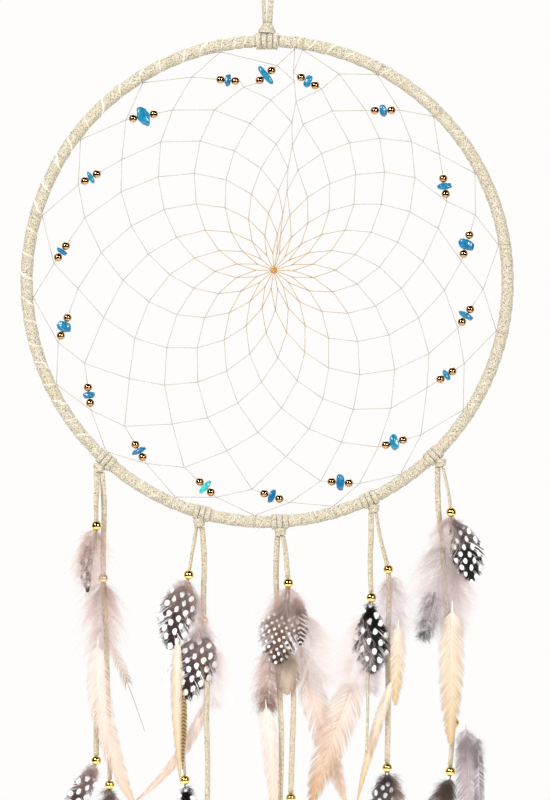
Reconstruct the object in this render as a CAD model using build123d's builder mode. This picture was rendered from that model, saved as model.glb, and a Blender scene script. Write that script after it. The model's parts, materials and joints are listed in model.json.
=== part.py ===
"""Dream catcher: a lace-wrapped hoop with a beaded web and five feather pendants.

The part stands in the X-Z plane with its front towards -Y. The origin is the point where the
hanging loop bears on its nail, so everything else hangs below it. Units are millimetres.
"""
from build123d import *
import math
import os

# ---------------------------------------------------------------- driving dimensions
RING_DIAMETER = 225.6          # steel ring, measured on the wire's centre line (229 mm outside)
RING_WIRE = 3.4                # wire thickness
LACE_WIDTH = 2.6               # flat suede lace
LACE_THICK = 1.2
LOOP_RISE = 50.0               # from the wrapped hoop's top up to the nail
NAIL = 5.0                     # nail that the loop is made for

WEB_THREAD = 0.5
WEB_KNOT = 0.84
WEB_ROUNDS = 11                # rounds of knots, from the ring to the centre knot
WEB_KNOT_GAP = 0.02            # each stretch of thread stops this far from its knot
CENTRE_KNOT = 3.2
WEB_BEAD = 4.0
WEB_CHIP_THICK = 3.2           # turquoise chip, drilled across its length
CHIP_CHAMFER = 0.7
TRIO_END = 0.2                 # the thread stays straight this far past a trio's beads
TRIO_KNOT_GAP = 1.5            # from a trio's beads to the knots beside it, at least
THREAD_TRIM = 0.08             # two stretches that meet at a bend stop this far from it
CHIP_GAP = 0.25                # between a chip and the beads beside it
THREAD_PLAY = 0.05             # bead and chip bores are this much larger than the thread, radially

HITCH_LENGTH = 11.0            # lace turns of the hanging loop round the hoop
HITCH_PLAY = 0.3               # the hoop turns inside the hitch with this clearance
HITCH_KNOT = 5.2
LASHING_LENGTH = 8.0           # three turns of lace round the hoop
LASHING_KNOT = 4.6
KNOT_SINK = 1.5                # a lashing's knot is pressed this deep into its turns
HITCH_KNOT_SINK = 1.0
STRAND_PLAY = 0.4              # a strand starts this far from the knot that it swings on

PENDANT_BEAD = 4.8
BEAD_BORE = 1.6
QUILL_PLATE = 1.4              # thickness of a flat feather
FLUFF_PLATE = 5.0              # thickness of a downy tuft
FRONT_Y = -4.6                 # layer of the strand that lies in front
LONG_Y = 1.2                   # layer of the strand that lies behind it

# ---------------------------------------------------------------- sizes that follow
ring_radius = RING_DIAMETER / 2
wrap_radius = RING_WIRE / 2 + LACE_THICK
hoop_centre_z = -(LOOP_RISE + ring_radius + wrap_radius)
lace_cord = 2 * math.sqrt(LACE_WIDTH * LACE_THICK / math.pi)  # round cord of the flat lace's section area
knot_ring = ring_radius + wrap_radius + LACE_THICK + LASHING_KNOT / 2 - KNOT_SINK

os.makedirs("parts", exist_ok=True)


def save(part, name):
    """Label a finished sub-part and write its file."""
    part.part.label = name
    export_step(part.part, f"parts/{name}.step")


def at_angle(radius, degrees):
    """Point in the hoop's plane, by radius and angle from +X."""
    turn = math.radians(degrees)
    return radius * math.cos(turn), hoop_centre_z + radius * math.sin(turn)


def hoop_sleeve(inner, outer, start, span):
    """Tube round a stretch of the hoop, made inside the current part."""
    x, z = at_angle(ring_radius, start)
    radial = (math.cos(math.radians(start)), 0, math.sin(math.radians(start)))
    across = Plane(origin=(x, 0, z), x_dir=radial, z_dir=(-radial[2], 0, radial[0]))
    with BuildSketch(across) as ring:
        Circle(outer)
        if inner > 0:
            Circle(inner, mode=Mode.SUBTRACT)
    axle = Axis((0, 0, hoop_centre_z), (0, -1, 0))
    revolve(ring.sketch, axis=axle, revolution_arc=span)


# ---------------------------------------------------------------- hoop
with BuildPart() as hoop_ring:
    hoop_sleeve(0, RING_WIRE / 2, 0, 360)
save(hoop_ring, "hoop_ring")

with BuildPart() as hoop_wrap:
    hoop_sleeve(RING_WIRE / 2, wrap_radius, 0, 360)
save(hoop_wrap, "hoop_wrap")

# ---------------------------------------------------------------- hanging loop and its hitch
hitch_bore = wrap_radius + HITCH_PLAY
hitch_outer = hitch_bore + LACE_THICK
hitch_span = math.degrees(HITCH_LENGTH / ring_radius)
hitch_knot_z = hoop_centre_z + ring_radius + hitch_outer + HITCH_KNOT / 2 - HITCH_KNOT_SINK

with BuildPart() as loop_hitch:
    hoop_sleeve(hitch_bore, hitch_outer, 90 - hitch_span / 2, hitch_span)
    with Locations((0, 0, hitch_knot_z)):
        Sphere(HITCH_KNOT / 2)
save(loop_hitch, "loop_hitch")


def cord(name, points, diameter):
    """Plain tube along straight runs joined by tangent arcs, as large as the runs allow."""
    corners = [Vector(*p) for p in points]
    radii = []
    for before, corner, after in zip(corners, corners[1:], corners[2:]):
        shorter = min((corner - before).length, (after - corner).length)
        half_turn = math.radians((corner - before).get_angle(after - corner)) / 2
        radii.append(0.45 * shorter / math.tan(half_turn))
    print(name, "radii", [round(r, 1) for r in radii])
    with BuildPart() as tube:
        with BuildLine() as route:
            if radii:
                FilletPolyline(*corners, radius=radii)
            else:
                Line(*corners)
        with BuildSketch(Plane(origin=corners[0], z_dir=(corners[1] - corners[0]))):
            Circle(diameter / 2)
        sweep(path=route.wire())
    length = route.wire().length
    print(name, "length", round(length, 1), "volume ratio",
          round(tube.part.volume / (math.pi * diameter ** 2 / 4 * length), 4))
    save(tube, name)


loop_foot = hitch_knot_z + HITCH_KNOT / 2 + STRAND_PLAY
bight = (NAIL + lace_cord) / 2
cord("hanging_loop", [
    (-1.3, 0, loop_foot), (-1.7, 0.4, loop_foot + 11), (-2.6, -0.2, loop_foot + 24),
    (-bight, 0, -9.0), (-bight, 0, lace_cord / 2), (bight, 0, lace_cord / 2), (bight, 0, -9.6),
    (2.9, 0.3, loop_foot + 22), (1.6, -0.3, loop_foot + 10), (1.3, 0, loop_foot),
], lace_cord)


# ---------------------------------------------------------------- web: one thread, hitched to itself
# Directions from the hoop's centre to where the thread is hitched over the wrap, clockwise from the
# top. The last hitch lies beside the first, where the round closes.
ANCHORS = [81.3, 62.0, 44.8, 27.5, 8.9, -12.1, -33.2, -55.3, -73.6, -93.1,
           -113.1, -133.4, -154.0, -176.1, -196.3, -217.2, -238.0, -258.5, -276.8]
WEB_TWIST = 0.535              # share of a cell that each round steps on round the hoop
CENTRE_X, CENTRE_Z = 3.1, 5.3  # the centre knot, from the hoop's centre
WEB_LEAN_X = 3.9               # the middle rounds lie this far towards +X
# How the rounds bulge out from even spacing, across and up: once and twice the share inward.
BULGE_X = (0.125, -0.274)
BULGE_Z = (0.334, -0.569)

web_radius = ring_radius - wrap_radius
columns = len(ANCHORS)


def even_point(turn, column):
    """Place of one web knot before its beads pull it: turn 0 is on the hoop, the last is the centre knot."""
    inward = turn / WEB_ROUNDS
    step = column + turn * WEB_TWIST
    whole = math.floor(step)
    laps, index = divmod(whole, columns)
    here = ANCHORS[index] - 360 * laps
    laps, index = divmod(whole + 1, columns)
    beyond = ANCHORS[index] - 360 * laps
    turned = math.radians(here + (beyond - here) * (step - whole))
    even = web_radius * (1 - inward)
    wide = even * (1 + BULGE_X[0] * inward + BULGE_X[1] * inward ** 2)
    tall = even * (1 + BULGE_Z[0] * inward + BULGE_Z[1] * inward ** 2)
    x = CENTRE_X * inward + WEB_LEAN_X * 2 * inward * (1 - inward) + wide * math.cos(turned)
    z = hoop_centre_z + CENTRE_Z * inward + tall * math.sin(turned)
    return Vector(x, 0, z)


# A chip between two beads sits on most stretches from the first round of knots to the second: the
# columns of its outer and inner knot, its middle across and up from the hoop's centre, the
# direction of its thread in degrees, the chip's width along the thread and its length. The places
# are those in a ring of TRIO_RING_RADIUS, and move out or in with the ring's own radius.
TRIO_RING_RADIUS = 112.8
TRIOS = [
    (1, 0, 54.4, 80.3, -179, 3.3, 5.5), (2, 2, 83.2, 44.7, -81, 2.9, 6.6), (3, 3, 93.5, 17.4, -107, 4.8, 7.6),
    (4, 4, 93.3, -16.0, -123, 2.6, 7.1), (5, 5, 84.1, -44.0, -147, 2.2, 5.8), (6, 6, 59.7, -75.5, -164, 3.9, 7.4),
    (7, 7, 34.3, -94.2, 176, 3.6, 7.4), (8, 8, 2.2, -100.7, 161, 3.0, 6.6), (9, 9, -29.0, -96.4, 137, 2.6, 7.3),
    (10, 10, -60.1, -79.4, 120, 2.3, 6.7), (11, 11, -83.5, -53.3, 98, 2.9, 5.8), (12, 12, -95.2, -21.2, 70, 4.5, 6.8),
    (13, 13, -96.2, 14.0, 56, 2.0, 5.5), (14, 14, -82.7, 48.8, 30, 2.0, 6.4), (15, 15, -58.0, 77.5, 12, 5.4, 8.9),
    (16, 16, -18.4, 94.4, -5, 2.5, 6.0), (17, 16, -0.7, 96.7, -140, 2.7, 10.7), (18, 18, 19.2, 93.9, -30, 3.1, 6.2),
]


def trio_line(trio):
    """Middle, direction and half length of a trio."""
    across, up, lean, chip_width = trio[2:6]
    along = Vector(math.cos(math.radians(lean)), 0, math.sin(math.radians(lean)))
    spread = ring_radius / TRIO_RING_RADIUS
    return Vector(across * spread, 0, hoop_centre_z + up * spread), along, chip_width / 2 + CHIP_GAP + WEB_BEAD


def pulled_knots():
    """Knots at the ends of the trios' threads, moved onto those threads, by turn and column."""
    claims = {}
    for trio in TRIOS:
        middle, along, half = trio_line(trio)
        for turn, column, way in ((1, trio[0], -1), (2, trio[1], 1)):
            reach = (even_point(turn, column) - middle).dot(along) * way
            claims.setdefault((turn, column), []).append(middle + along * way * max(reach, half + TRIO_KNOT_GAP))
    return {knot: sum(places, Vector(0, 0, 0)) / len(places) for knot, places in claims.items()}


PULLED = pulled_knots()


def web_point(turn, column):
    """Place of one web knot."""
    lap, index = divmod(column, columns)
    pulled = PULLED.get((turn, index))
    return pulled if pulled and lap in (0, 1) else even_point(turn, column)


def rod(start, end, diameter, trim_start, trim_end):
    """Straight cylinder between two points, cut short at both ends, inside the current part."""
    along = (end - start).normalized()
    begin = start + along * trim_start
    length = (end - start).length - trim_start - trim_end
    with BuildSketch(Plane(origin=begin, z_dir=along)) as section:
        Circle(diameter / 2)
    extrude(section.sketch, amount=length)


knot_trim = WEB_KNOT / 2 + WEB_KNOT_GAP
centre_trim = CENTRE_KNOT / 2 + WEB_KNOT_GAP
trio_on = {(1, trio[0], trio[1]): trio for trio in TRIOS}
thread_parts = []
for turn in range(WEB_ROUNDS):
    last = turn == WEB_ROUNDS - 1
    for column in range(columns):
        inner = web_point(turn + 1, column)
        end_trim = centre_trim if last else knot_trim
        for outer_column in (column,) if last else (column, column + 1):
            outer_knot = web_point(turn, outer_column)
            trio = trio_on.get((turn, outer_column % columns, column))
            runs = [(outer_knot, inner, knot_trim, end_trim)]
            if trio:
                middle, along, half = trio_line(trio)
                enter, leave = middle - along * (half + TRIO_END), middle + along * (half + TRIO_END)
                runs = [(outer_knot, enter, knot_trim, THREAD_TRIM), (enter, leave, THREAD_TRIM, THREAD_TRIM),
                        (leave, inner, THREAD_TRIM, end_trim)]
            for start, end, trim_start, trim_end in runs:
                with BuildPart(mode=Mode.PRIVATE) as stretch:
                    rod(start, end, WEB_THREAD, trim_start, trim_end)
                thread_parts.append(stretch.part)
        with BuildPart(mode=Mode.PRIVATE) as knot:
            with Locations(web_point(turn, column)):
                Sphere(WEB_KNOT / 2)
        thread_parts.append(knot.part)
with BuildPart() as web_thread:
    add(thread_parts, clean=False)
    with Locations((CENTRE_X, 0, hoop_centre_z + CENTRE_Z)):
        Sphere(CENTRE_KNOT / 2)
save(web_thread, "web_thread")

bead_bore = WEB_THREAD + 2 * THREAD_PLAY
bead_places = []
chips = []
for trio in TRIOS:
    middle, along, half = trio_line(trio)
    for side in (-1, 1):
        bead_places.append(Plane(origin=middle + along * (half - WEB_BEAD / 2) * side, z_dir=along))
    chip_width, chip_length = trio[5:7]
    with BuildPart(Plane(origin=middle, x_dir=(0, 1, 0), z_dir=along), mode=Mode.PRIVATE) as chip:
        Box(WEB_CHIP_THICK, chip_length, chip_width)
        Cylinder(bead_bore / 2, chip_width, mode=Mode.SUBTRACT)
        chamfer(chip.edges().filter_by(GeomType.LINE), CHIP_CHAMFER)
    chips.append(chip.part)

with BuildPart() as web_beads:
    with Locations(*bead_places):
        Sphere(WEB_BEAD / 2)
        Cylinder(bead_bore / 2, WEB_BEAD, mode=Mode.SUBTRACT)
save(web_beads, "web_beads")

with BuildPart() as turquoise_chips:
    add(chips, clean=False)
save(turquoise_chips, "turquoise_chips")


# ---------------------------------------------------------------- pendants
def bead(name, places):
    """Round beads on laces, drilled from top to bottom."""
    with BuildPart() as beads:
        with Locations(*places):
            Sphere(PENDANT_BEAD / 2)
            Cylinder(BEAD_BORE / 2, PENDANT_BEAD, mode=Mode.SUBTRACT)
    save(beads, name)


def plates(name, shapes, thick):
    """Flat closed leaves for feathers and tufts: each has a root, a tip and a width."""
    with BuildPart() as leaves:
        for root, tip, width in shapes:
            root, tip = Vector(*root), Vector(*tip)
            along = (tip - root).normalized()
            face = Plane(origin=(root + tip) / 2, x_dir=along, z_dir=along.cross(Vector(0, 1, 0)).cross(along))
            with BuildSketch(face):
                Ellipse((tip - root).length / 2, width / 2)
            extrude(amount=thick / 2, both=True)
    save(leaves, name)


# Each pendant is laid out from its own lashing knot: (across, depth, height), in millimetres. The
# front strand hangs before the long one. Feathers and tufts are (root, tip, width).
F, L = FRONT_Y, LONG_Y
PENDANTS = {
    "outer_left": {
        "direction": -132.0,
        "front_laces": [[(-1.3, -0.4, -2.4), (-0.9, -2.4, -9), (-1.4, -4.0, -17), (-1.0, F, -27),
                         (-2.2, F, -38)]],
        "front_beads": [(-1.0, F, -26.9)],
        "front_tuft": [((-1.2, F, -29.6), (-7.1, F, -57.0), 8.5)],
        "long_laces": [[(1.3, 0.2, -2.4), (2.6, 0.9, -17), (1.8, L, -36), (1.9, L, -55), (3.3, L, -75),
                        (3.7, L, -97), (4.6, L, -121), (4.9, L, -146.4)],
                       [(-1.6, L, -96), (-0.6, L, -110), (-1.7, L, -123), (-1.4, L, -134.9)]],
        "long_beads": [(1.8, L, -51.8), (-1.4, L, -137.3), (4.9, L, -148.8)],
        "long_tuft": [((1.8, L, -54.8), (0.6, L, -93.5), 18.0)],
        "long_feathers": [((6.8, L + 3.6, -90.0), (21.5, L + 3.6, -125.6), 5.0),
                          ((-1.0, L - 2.9, -95.5), (16.0, L - 2.9, -163.0), 8.0)],
        "tail_feathers": [((-1.8, L, -140.6), (-19.0, L, -170.0), 10.0),
                          ((5.0, L, -152.0), (2.5, L, -192.0), 11.0)],
    },
    "inner_left": {
        "direction": -105.7,
        "front_laces": [[(-1.3, -0.4, -2.4), (-2.2, -2.6, -8.5), (-3.4, -4.2, -15), (-4.9, F, -24.5),
                         (-7.4, F, -35)]],
        "front_beads": [(-4.8, F, -24.1)],
        "front_tuft": [((-5.0, F, -27.0), (-14.0, F, -57.0), 17.0)],
        "front_hackle": [((-14.9, F, -57.6), (-9.0, F, -136.0), 6.5)],
        "long_laces": [[(1.3, 0.2, -2.4), (2.7, 0.9, -16), (1.9, L, -32), (2.2, L, -50), (3.9, L, -70),
                        (3.3, L, -92), (4.3, L, -118), (3.4, L, -146.2)],
                       [(-7.2, L, -82), (-8.4, L, -95), (-7.4, L, -107), (-6.7, L, -118.2)]],
        "long_beads": [(2.0, L, -45.9), (-6.7, L, -120.6), (3.4, L, -148.6)],
        "long_tuft": [((2.0, L, -48.8), (-7.0, L, -83.0), 17.0), ((7.0, L + 3.4, -58.0), (8.6, L + 3.4, -86.0), 12.5)],
        "long_feathers": [((-7.9, L - 2.9, -83.4), (-8.2, L - 2.9, -117.0), 5.0),
                          ((4.4, L + 3.2, -82.0), (-10.5, L + 3.2, -117.0), 5.0),
                          ((-10.5, L + 3.2, -117.2), (-27.0, L + 3.2, -131.0), 5.0)],
        "tail_feathers": [((-6.4, L, -123.8), (-2.0, L - 0.4, -156.0), 9.0),
                          ((3.6, L, -151.8), (5.5, L, -189.0), 12.0)],
    },
    "middle": {
        "direction": -87.0,
        "front_laces": [[(1.3, -0.4, -2.4), (2.6, -2.6, -8.5), (2.9, -4.2, -14.5), (3.9, F, -24),
                         (3.2, F, -34.5)]],
        "front_beads": [(3.8, F, -23.7)],
        "front_tuft": [((-5.0, F, -31.0), (11.8, F, -32.2), 9.0), ((3.8, F, -36.9), (4.4, F, -62.0), 22.0)],
        "long_laces": [[(-1.3, 0.2, -2.4), (-2.3, 0.9, -17), (-1.4, L, -35), (-1.7, L, -54), (-0.2, L, -76),
                        (0.8, L, -99), (0.1, L, -124), (-0.6, L, -144)],
                       [(5.6, L, -58), (6.6, L, -76), (5.6, L, -99), (5.0, L, -122.4)]],
        "long_beads": [(5.0, L, -124.8), (-0.6, L, -146.4)],
        "long_tuft": [((-4.6, L, -57.0), (-4.0, L, -86.0), 11.5), ((15.5, L, -41.0), (20.0, L, -67.0), 14.0)],
        "long_feathers": [((2.6, L - 2.9, -62.5), (2.4, L - 2.9, -79.0), 10.0),
                          ((9.6, L + 3.6, -54.4), (20.0, L + 3.6, -96.0), 6.5),
                          ((-4.0, L - 2.9, -86.6), (-3.6, L - 2.9, -150.0), 8.0)],
        "tail_feathers": [((6.2, L, -128.0), (11.5, L, -163.0), 9.0),
                          ((-1.0, L, -149.6), (-6.0, L, -188.0), 9.0)],
    },
    "inner_right": {
        "direction": -64.9,
        "front_laces": [[(-1.3, -0.4, -2.4), (-0.9, -2.4, -12), (-2.0, -4.2, -24), (-1.2, F, -39.0)],
                        [(-1.4, F, -62), (-3.0, F, -77), (-2.6, F, -94), (-3.5, F, -114)]],
        "front_beads": [(-1.2, F, -41.4)],
        "front_tuft": [((-1.4, F, -44.4), (0.6, F, -75.0), 15.0)],
        "front_feathers": [((-7.6, F + 1.0, -55.0), (-9.4, F + 1.0, -89.0), 12.0),
                           ((-9.0, F + 1.0, -89.4), (-28.0, F + 1.0, -138.0), 7.0)],
        "long_laces": [[(1.3, 0.2, -2.4), (2.9, 0.9, -14), (6.9, L, -27), (7.6, L, -44), (6.4, L, -64),
                        (7.2, L, -90), (6.4, L, -119.2)]],
        "long_beads": [(6.9, L, -28.5), (6.4, L, -121.6)],
        "long_tuft": [((7.2, L, -31.4), (9.6, L, -62.0), 15.0)],
        "long_feathers": [((11.5, L - 2.9, -58.3), (8.0, L - 2.9, -90.0), 6.0),
                          ((8.0, L - 2.9, -90.2), (-5.0, L - 2.9, -137.0), 6.0)],
        "tail_feathers": [((5.8, L, -124.8), (0.6, L, -158.0), 11.0),
                          ((7.4, L + 1.8, -124.8), (13.2, L + 1.8, -156.0), 11.0)],
    },
    "outer_right": {
        "direction": -46.3,
        "front_laces": [[(1.3, -0.4, -2.4), (2.3, -2.2, -7.6), (3.6, -3.8, -13.6), (4.9, F, -23),
                         (4.5, F, -33.5)]],
        "front_beads": [(4.8, F, -23.0)],
        "front_tuft": [((4.9, F, -25.8), (5.6, F, -37.5), 14.0), ((6.6, F, -37.8), (13.0, F, -55.0), 12.0)],
        "long_laces": [[(-1.3, 0.2, -2.4), (-1.6, 0.9, -17), (0.9, L, -38), (2.6, L, -62), (4.9, L, -91),
                        (6.7, L, -119), (4.6, L, -142.4)]],
        "long_beads": [(6.5, L, -122.0), (4.6, L, -144.8)],
        "long_tuft": [((1.4, L, -37.0), (4.6, L, -88.0), 29.0)],
        "long_feathers": [((7.0, L - 3.4, -88.4), (4.8, L - 3.4, -136.0), 11.0)],
        "tail_feathers": [((3.6, L, -148.0), (-4.0, L, -176.0), 12.0),
                          ((12.4, L - 0.5, -126.0), (15.0, L - 0.5, -172.0), 11.5)],
    },
}

FEATHER_THICKNESS = {
    "front_tuft": QUILL_PLATE * 2, "front_hackle": QUILL_PLATE, "front_feathers": QUILL_PLATE,
    "long_tuft": FLUFF_PLATE, "long_feathers": QUILL_PLATE, "tail_feathers": QUILL_PLATE * 2,
}
lashing_outer = wrap_radius + LACE_THICK
lashing_span = math.degrees(LASHING_LENGTH / ring_radius)


def placed(knot, point):
    """A place on a pendant, from its knot's (x, z) to the part's frame."""
    return knot[0] + point[0], point[1], knot[1] + point[2]


for pendant, pieces in PENDANTS.items():
    direction = pieces["direction"]
    knot = at_angle(knot_ring, direction)
    print(pendant, "pivot", round(knot[0], 3), round(knot[1], 3))
    with BuildPart() as lashing:
        hoop_sleeve(wrap_radius, lashing_outer, direction - lashing_span / 2, lashing_span)
        with Locations((knot[0], 0, knot[1])):
            Sphere(LASHING_KNOT / 2)
        with Locations(Location((0, 0, hoop_centre_z), (90, 0, 0))):
            Torus(ring_radius, wrap_radius, mode=Mode.SUBTRACT)
    save(lashing, f"{pendant}_lashing")

    for layer in ("front", "long"):
        laces = pieces[f"{layer}_laces"]
        for number, route in enumerate(laces, start=1):
            label = f"{pendant}_{layer}_lace" + (f"_{number}" if len(laces) > 1 else "")
            cord(label, [placed(knot, p) for p in route], lace_cord)
        bead(f"{pendant}_{layer}_beads", [placed(knot, p) for p in pieces[f"{layer}_beads"]])
    for label, thick in FEATHER_THICKNESS.items():
        if label in pieces:
            shapes = [(placed(knot, root), placed(knot, tip), width) for root, tip, width in pieces[label]]
            plates(f"{pendant}_{label}", shapes, thick)
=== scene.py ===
"""Looks of a hanging dream catcher: suede-wound hoop, beaded web and five feather pendants."""
import json
import logging
import math
from collections.abc import Callable
from dataclasses import dataclass, field
from enum import Enum
from functools import lru_cache

import bmesh
import bpy
import numpy as np
from mathutils import Matrix, Vector, noise

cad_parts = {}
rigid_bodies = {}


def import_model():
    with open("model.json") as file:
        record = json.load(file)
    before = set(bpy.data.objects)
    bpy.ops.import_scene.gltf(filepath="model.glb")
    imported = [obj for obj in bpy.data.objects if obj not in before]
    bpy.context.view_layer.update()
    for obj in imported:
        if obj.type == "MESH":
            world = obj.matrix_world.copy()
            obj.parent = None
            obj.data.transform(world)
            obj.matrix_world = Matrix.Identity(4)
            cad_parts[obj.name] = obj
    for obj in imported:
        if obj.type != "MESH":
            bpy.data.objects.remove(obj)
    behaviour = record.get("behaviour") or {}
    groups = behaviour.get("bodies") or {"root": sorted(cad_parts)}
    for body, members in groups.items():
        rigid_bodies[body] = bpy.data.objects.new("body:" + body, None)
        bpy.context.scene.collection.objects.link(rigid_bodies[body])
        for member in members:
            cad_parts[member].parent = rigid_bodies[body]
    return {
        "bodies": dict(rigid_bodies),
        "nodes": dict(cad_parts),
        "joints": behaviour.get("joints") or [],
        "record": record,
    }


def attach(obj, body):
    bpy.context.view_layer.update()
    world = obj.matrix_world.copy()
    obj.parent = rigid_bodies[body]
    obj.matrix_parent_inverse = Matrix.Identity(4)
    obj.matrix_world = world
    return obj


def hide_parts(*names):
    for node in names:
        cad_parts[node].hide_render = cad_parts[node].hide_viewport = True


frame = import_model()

log = logging.getLogger("dream_catcher")

MM = 0.001
FULL_TURN = 2 * math.pi
FRONT = -1.0                    # the front faces -Y

RING_RADIUS = 112.8             # steel ring's centre line
WRAP_RADIUS = 2.9               # wound hoop's section
HOOP_Z = -165.7                 # hoop's centre, below the nail
LACE_WIDTH = 2.6
LACE_THICK = 1.2
LACE_TURN_THICK = 0.8           # where it is pulled tight round a knot or the hoop
FRONT_Y = -4.6                  # layer of the strands that lie in front
LONG_Y = 1.2                    # layer of the strands behind them


# ------------------------------------------------------------------ colours and nodes
def srgb(code: str) -> tuple[float, float, float, float]:
    """Turn an sRGB hex colour to linear.

    Args:
        code: six hex digits after a hash sign.

    Returns:
        Linear red, green, blue and an alpha of 1.
    """
    parts = [int(code[i:i + 2], 16) / 255 for i in (1, 3, 5)]
    linear = [c / 12.92 if c <= 0.04045 else ((c + 0.055) / 1.055) ** 2.4 for c in parts]
    return (*linear, 1.0)


def add_node(tree: bpy.types.NodeTree, kind: str, inputs: dict | None = None, **settings) -> bpy.types.Node:
    """Add one shader node with its settings, values and links.

    Args:
        tree: node tree that takes it.
        kind: the node's type name.
        inputs: socket name or number to a value, or to the output socket that feeds it.
        settings: the node's own properties.

    Returns:
        The new node.
    """
    node = tree.nodes.new(kind)
    for name, value in settings.items():
        setattr(node, name, value)
    for name, value in (inputs or {}).items():
        if isinstance(value, bpy.types.NodeSocket):
            tree.links.new(value, node.inputs[name])
        else:
            node.inputs[name].default_value = value
    return node


def new_material(name: str) -> tuple[bpy.types.Material, bpy.types.NodeTree, bpy.types.Node]:
    """Make an empty node material and its output node."""
    material = bpy.data.materials.new(name)
    material.use_nodes = True
    tree = material.node_tree
    tree.nodes.clear()
    return material, tree, add_node(tree, "ShaderNodeOutputMaterial")


def mix_colour(tree: bpy.types.NodeTree, share: bpy.types.NodeSocket | float,
               first: bpy.types.NodeSocket | tuple,
               second: bpy.types.NodeSocket | tuple) -> bpy.types.NodeSocket:
    """Mix two colours by a share and return the result's socket."""
    node = add_node(tree, "ShaderNodeMix", {0: share, 6: first, 7: second}, data_type="RGBA")
    return node.outputs[2]


def ramp(tree: bpy.types.NodeTree, share: bpy.types.NodeSocket, stops: list) -> bpy.types.NodeSocket:
    """Colour ramp through (place, colour) stops."""
    node = add_node(tree, "ShaderNodeValToRGB", {"Fac": share})
    elements = node.color_ramp.elements
    while len(elements) < len(stops):
        elements.new(0.5)
    for element, (place, colour) in zip(elements, stops):
        element.position = place
        element.color = colour
    return node.outputs["Color"]


@dataclass(frozen=True)
class SuedeFinish:
    """Split cowhide lace: matt, with a raised nap that mottles its colour, and pale cut edges that are partly
    painted highlight on the hoop's laps.
    """

    light: str = "#CBC5B5"
    body: str = "#A59D8B"
    dark: str = "#4E4739"
    nap: float = 0.6           # clumps of nap, mm
    bump: float = 0.8

    def build(self, name: str) -> bpy.types.Material:
        """Build the material."""
        material, tree, output = new_material(name)
        place = add_node(tree, "ShaderNodeTexCoord").outputs["Object"]
        fine = add_node(tree, "ShaderNodeTexNoise",
                        {"Vector": place, "Scale": 1 / (self.nap * MM), "Detail": 4.0, "Roughness": 0.65})
        broad = add_node(tree, "ShaderNodeTexNoise", {"Vector": place, "Scale": 1 / (5 * MM), "Detail": 2.0})
        mottled = ramp(tree, fine.outputs["Fac"], [(0.34, srgb(self.dark)), (0.47, srgb(self.body)),
                                                   (0.66, srgb(self.light))])
        warm = ramp(tree, broad.outputs["Fac"], [(0.4, (0, 0, 0, 1)), (0.7, (0.35, 0.35, 0.35, 1))])
        toned = mix_colour(tree, warm, mottled, srgb("#A39674"))
        # The edge attribute paints the laps' edges pale: partly the lace's own cut edge, partly painted
        # highlight where the light catches them.
        edge = add_node(tree, "ShaderNodeAttribute", attribute_name="edge").outputs["Fac"]
        edged = mix_colour(tree, edge, toned, srgb("#F3EDDD"))
        relief = add_node(tree, "ShaderNodeBump", {"Height": fine.outputs["Fac"], "Strength": self.bump,
                                                   "Distance": 0.4 * MM})
        surface = add_node(tree, "ShaderNodeBsdfPrincipled", {
            "Base Color": edged, "Roughness": 0.9, "Sheen Weight": 0.2, "Sheen Roughness": 0.5,
            "Normal": relief.outputs["Normal"]})
        tree.links.new(surface.outputs["BSDF"], output.inputs["Surface"])
        return material


@dataclass(frozen=True)
class MetalFinish:
    """Plated metal bead, polished, with a slight unevenness that breaks its highlight."""

    colour: str = "#7A5636"
    cloud: str = "#4A3323"
    roughness: float = 0.16

    def build(self, name: str) -> bpy.types.Material:
        """Build the material."""
        material, tree, output = new_material(name)
        place = add_node(tree, "ShaderNodeTexCoord").outputs["Object"]
        cloud = add_node(tree, "ShaderNodeTexNoise",
                         {"Vector": place, "Scale": 1 / (1.5 * MM), "Detail": 2.0})
        tint = mix_colour(tree, cloud.outputs["Fac"], srgb(self.colour), srgb(self.cloud))
        surface = add_node(tree, "ShaderNodeBsdfPrincipled",
                           {"Base Color": tint, "Metallic": 1.0, "Roughness": self.roughness})
        tree.links.new(surface.outputs["BSDF"], output.inputs["Surface"])
        return material


@dataclass(frozen=True)
class StoneFinish:
    """Tumbled turquoise chip: polished, with darker matrix veins and its own tint on each chip."""

    deep: str = "#044A76"
    bright: str = "#0A6C9E"
    vein: str = "#0A2E45"

    def build(self, name: str) -> bpy.types.Material:
        """Build the material."""
        material, tree, output = new_material(name)
        place = add_node(tree, "ShaderNodeTexCoord").outputs["Object"]
        tint = add_node(tree, "ShaderNodeAttribute", attribute_name="tone")
        cloud = add_node(tree, "ShaderNodeTexNoise",
                         {"Vector": place, "Scale": 1 / (2.2 * MM), "Detail": 4.0})
        crack = add_node(tree, "ShaderNodeTexVoronoi", {"Vector": place, "Scale": 1 / (2.6 * MM)},
                         feature="DISTANCE_TO_EDGE")
        blue = ramp(tree, cloud.outputs["Fac"], [(0.35, srgb(self.deep)), (0.65, srgb(self.bright))])
        green = mix_colour(tree, tint.outputs["Fac"], blue, srgb("#2FB0A8"))
        veins = ramp(tree, crack.outputs["Distance"], [(0.02, (0.4, 0.4, 0.4, 1)), (0.09, (0, 0, 0, 1))])
        veined = mix_colour(tree, veins, green, srgb(self.vein))
        surface = add_node(tree, "ShaderNodeBsdfPrincipled", {
            "Base Color": veined, "Roughness": 0.22, "Coat Weight": 0.3, "Coat Roughness": 0.08})
        tree.links.new(surface.outputs["BSDF"], output.inputs["Surface"])
        return material


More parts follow.
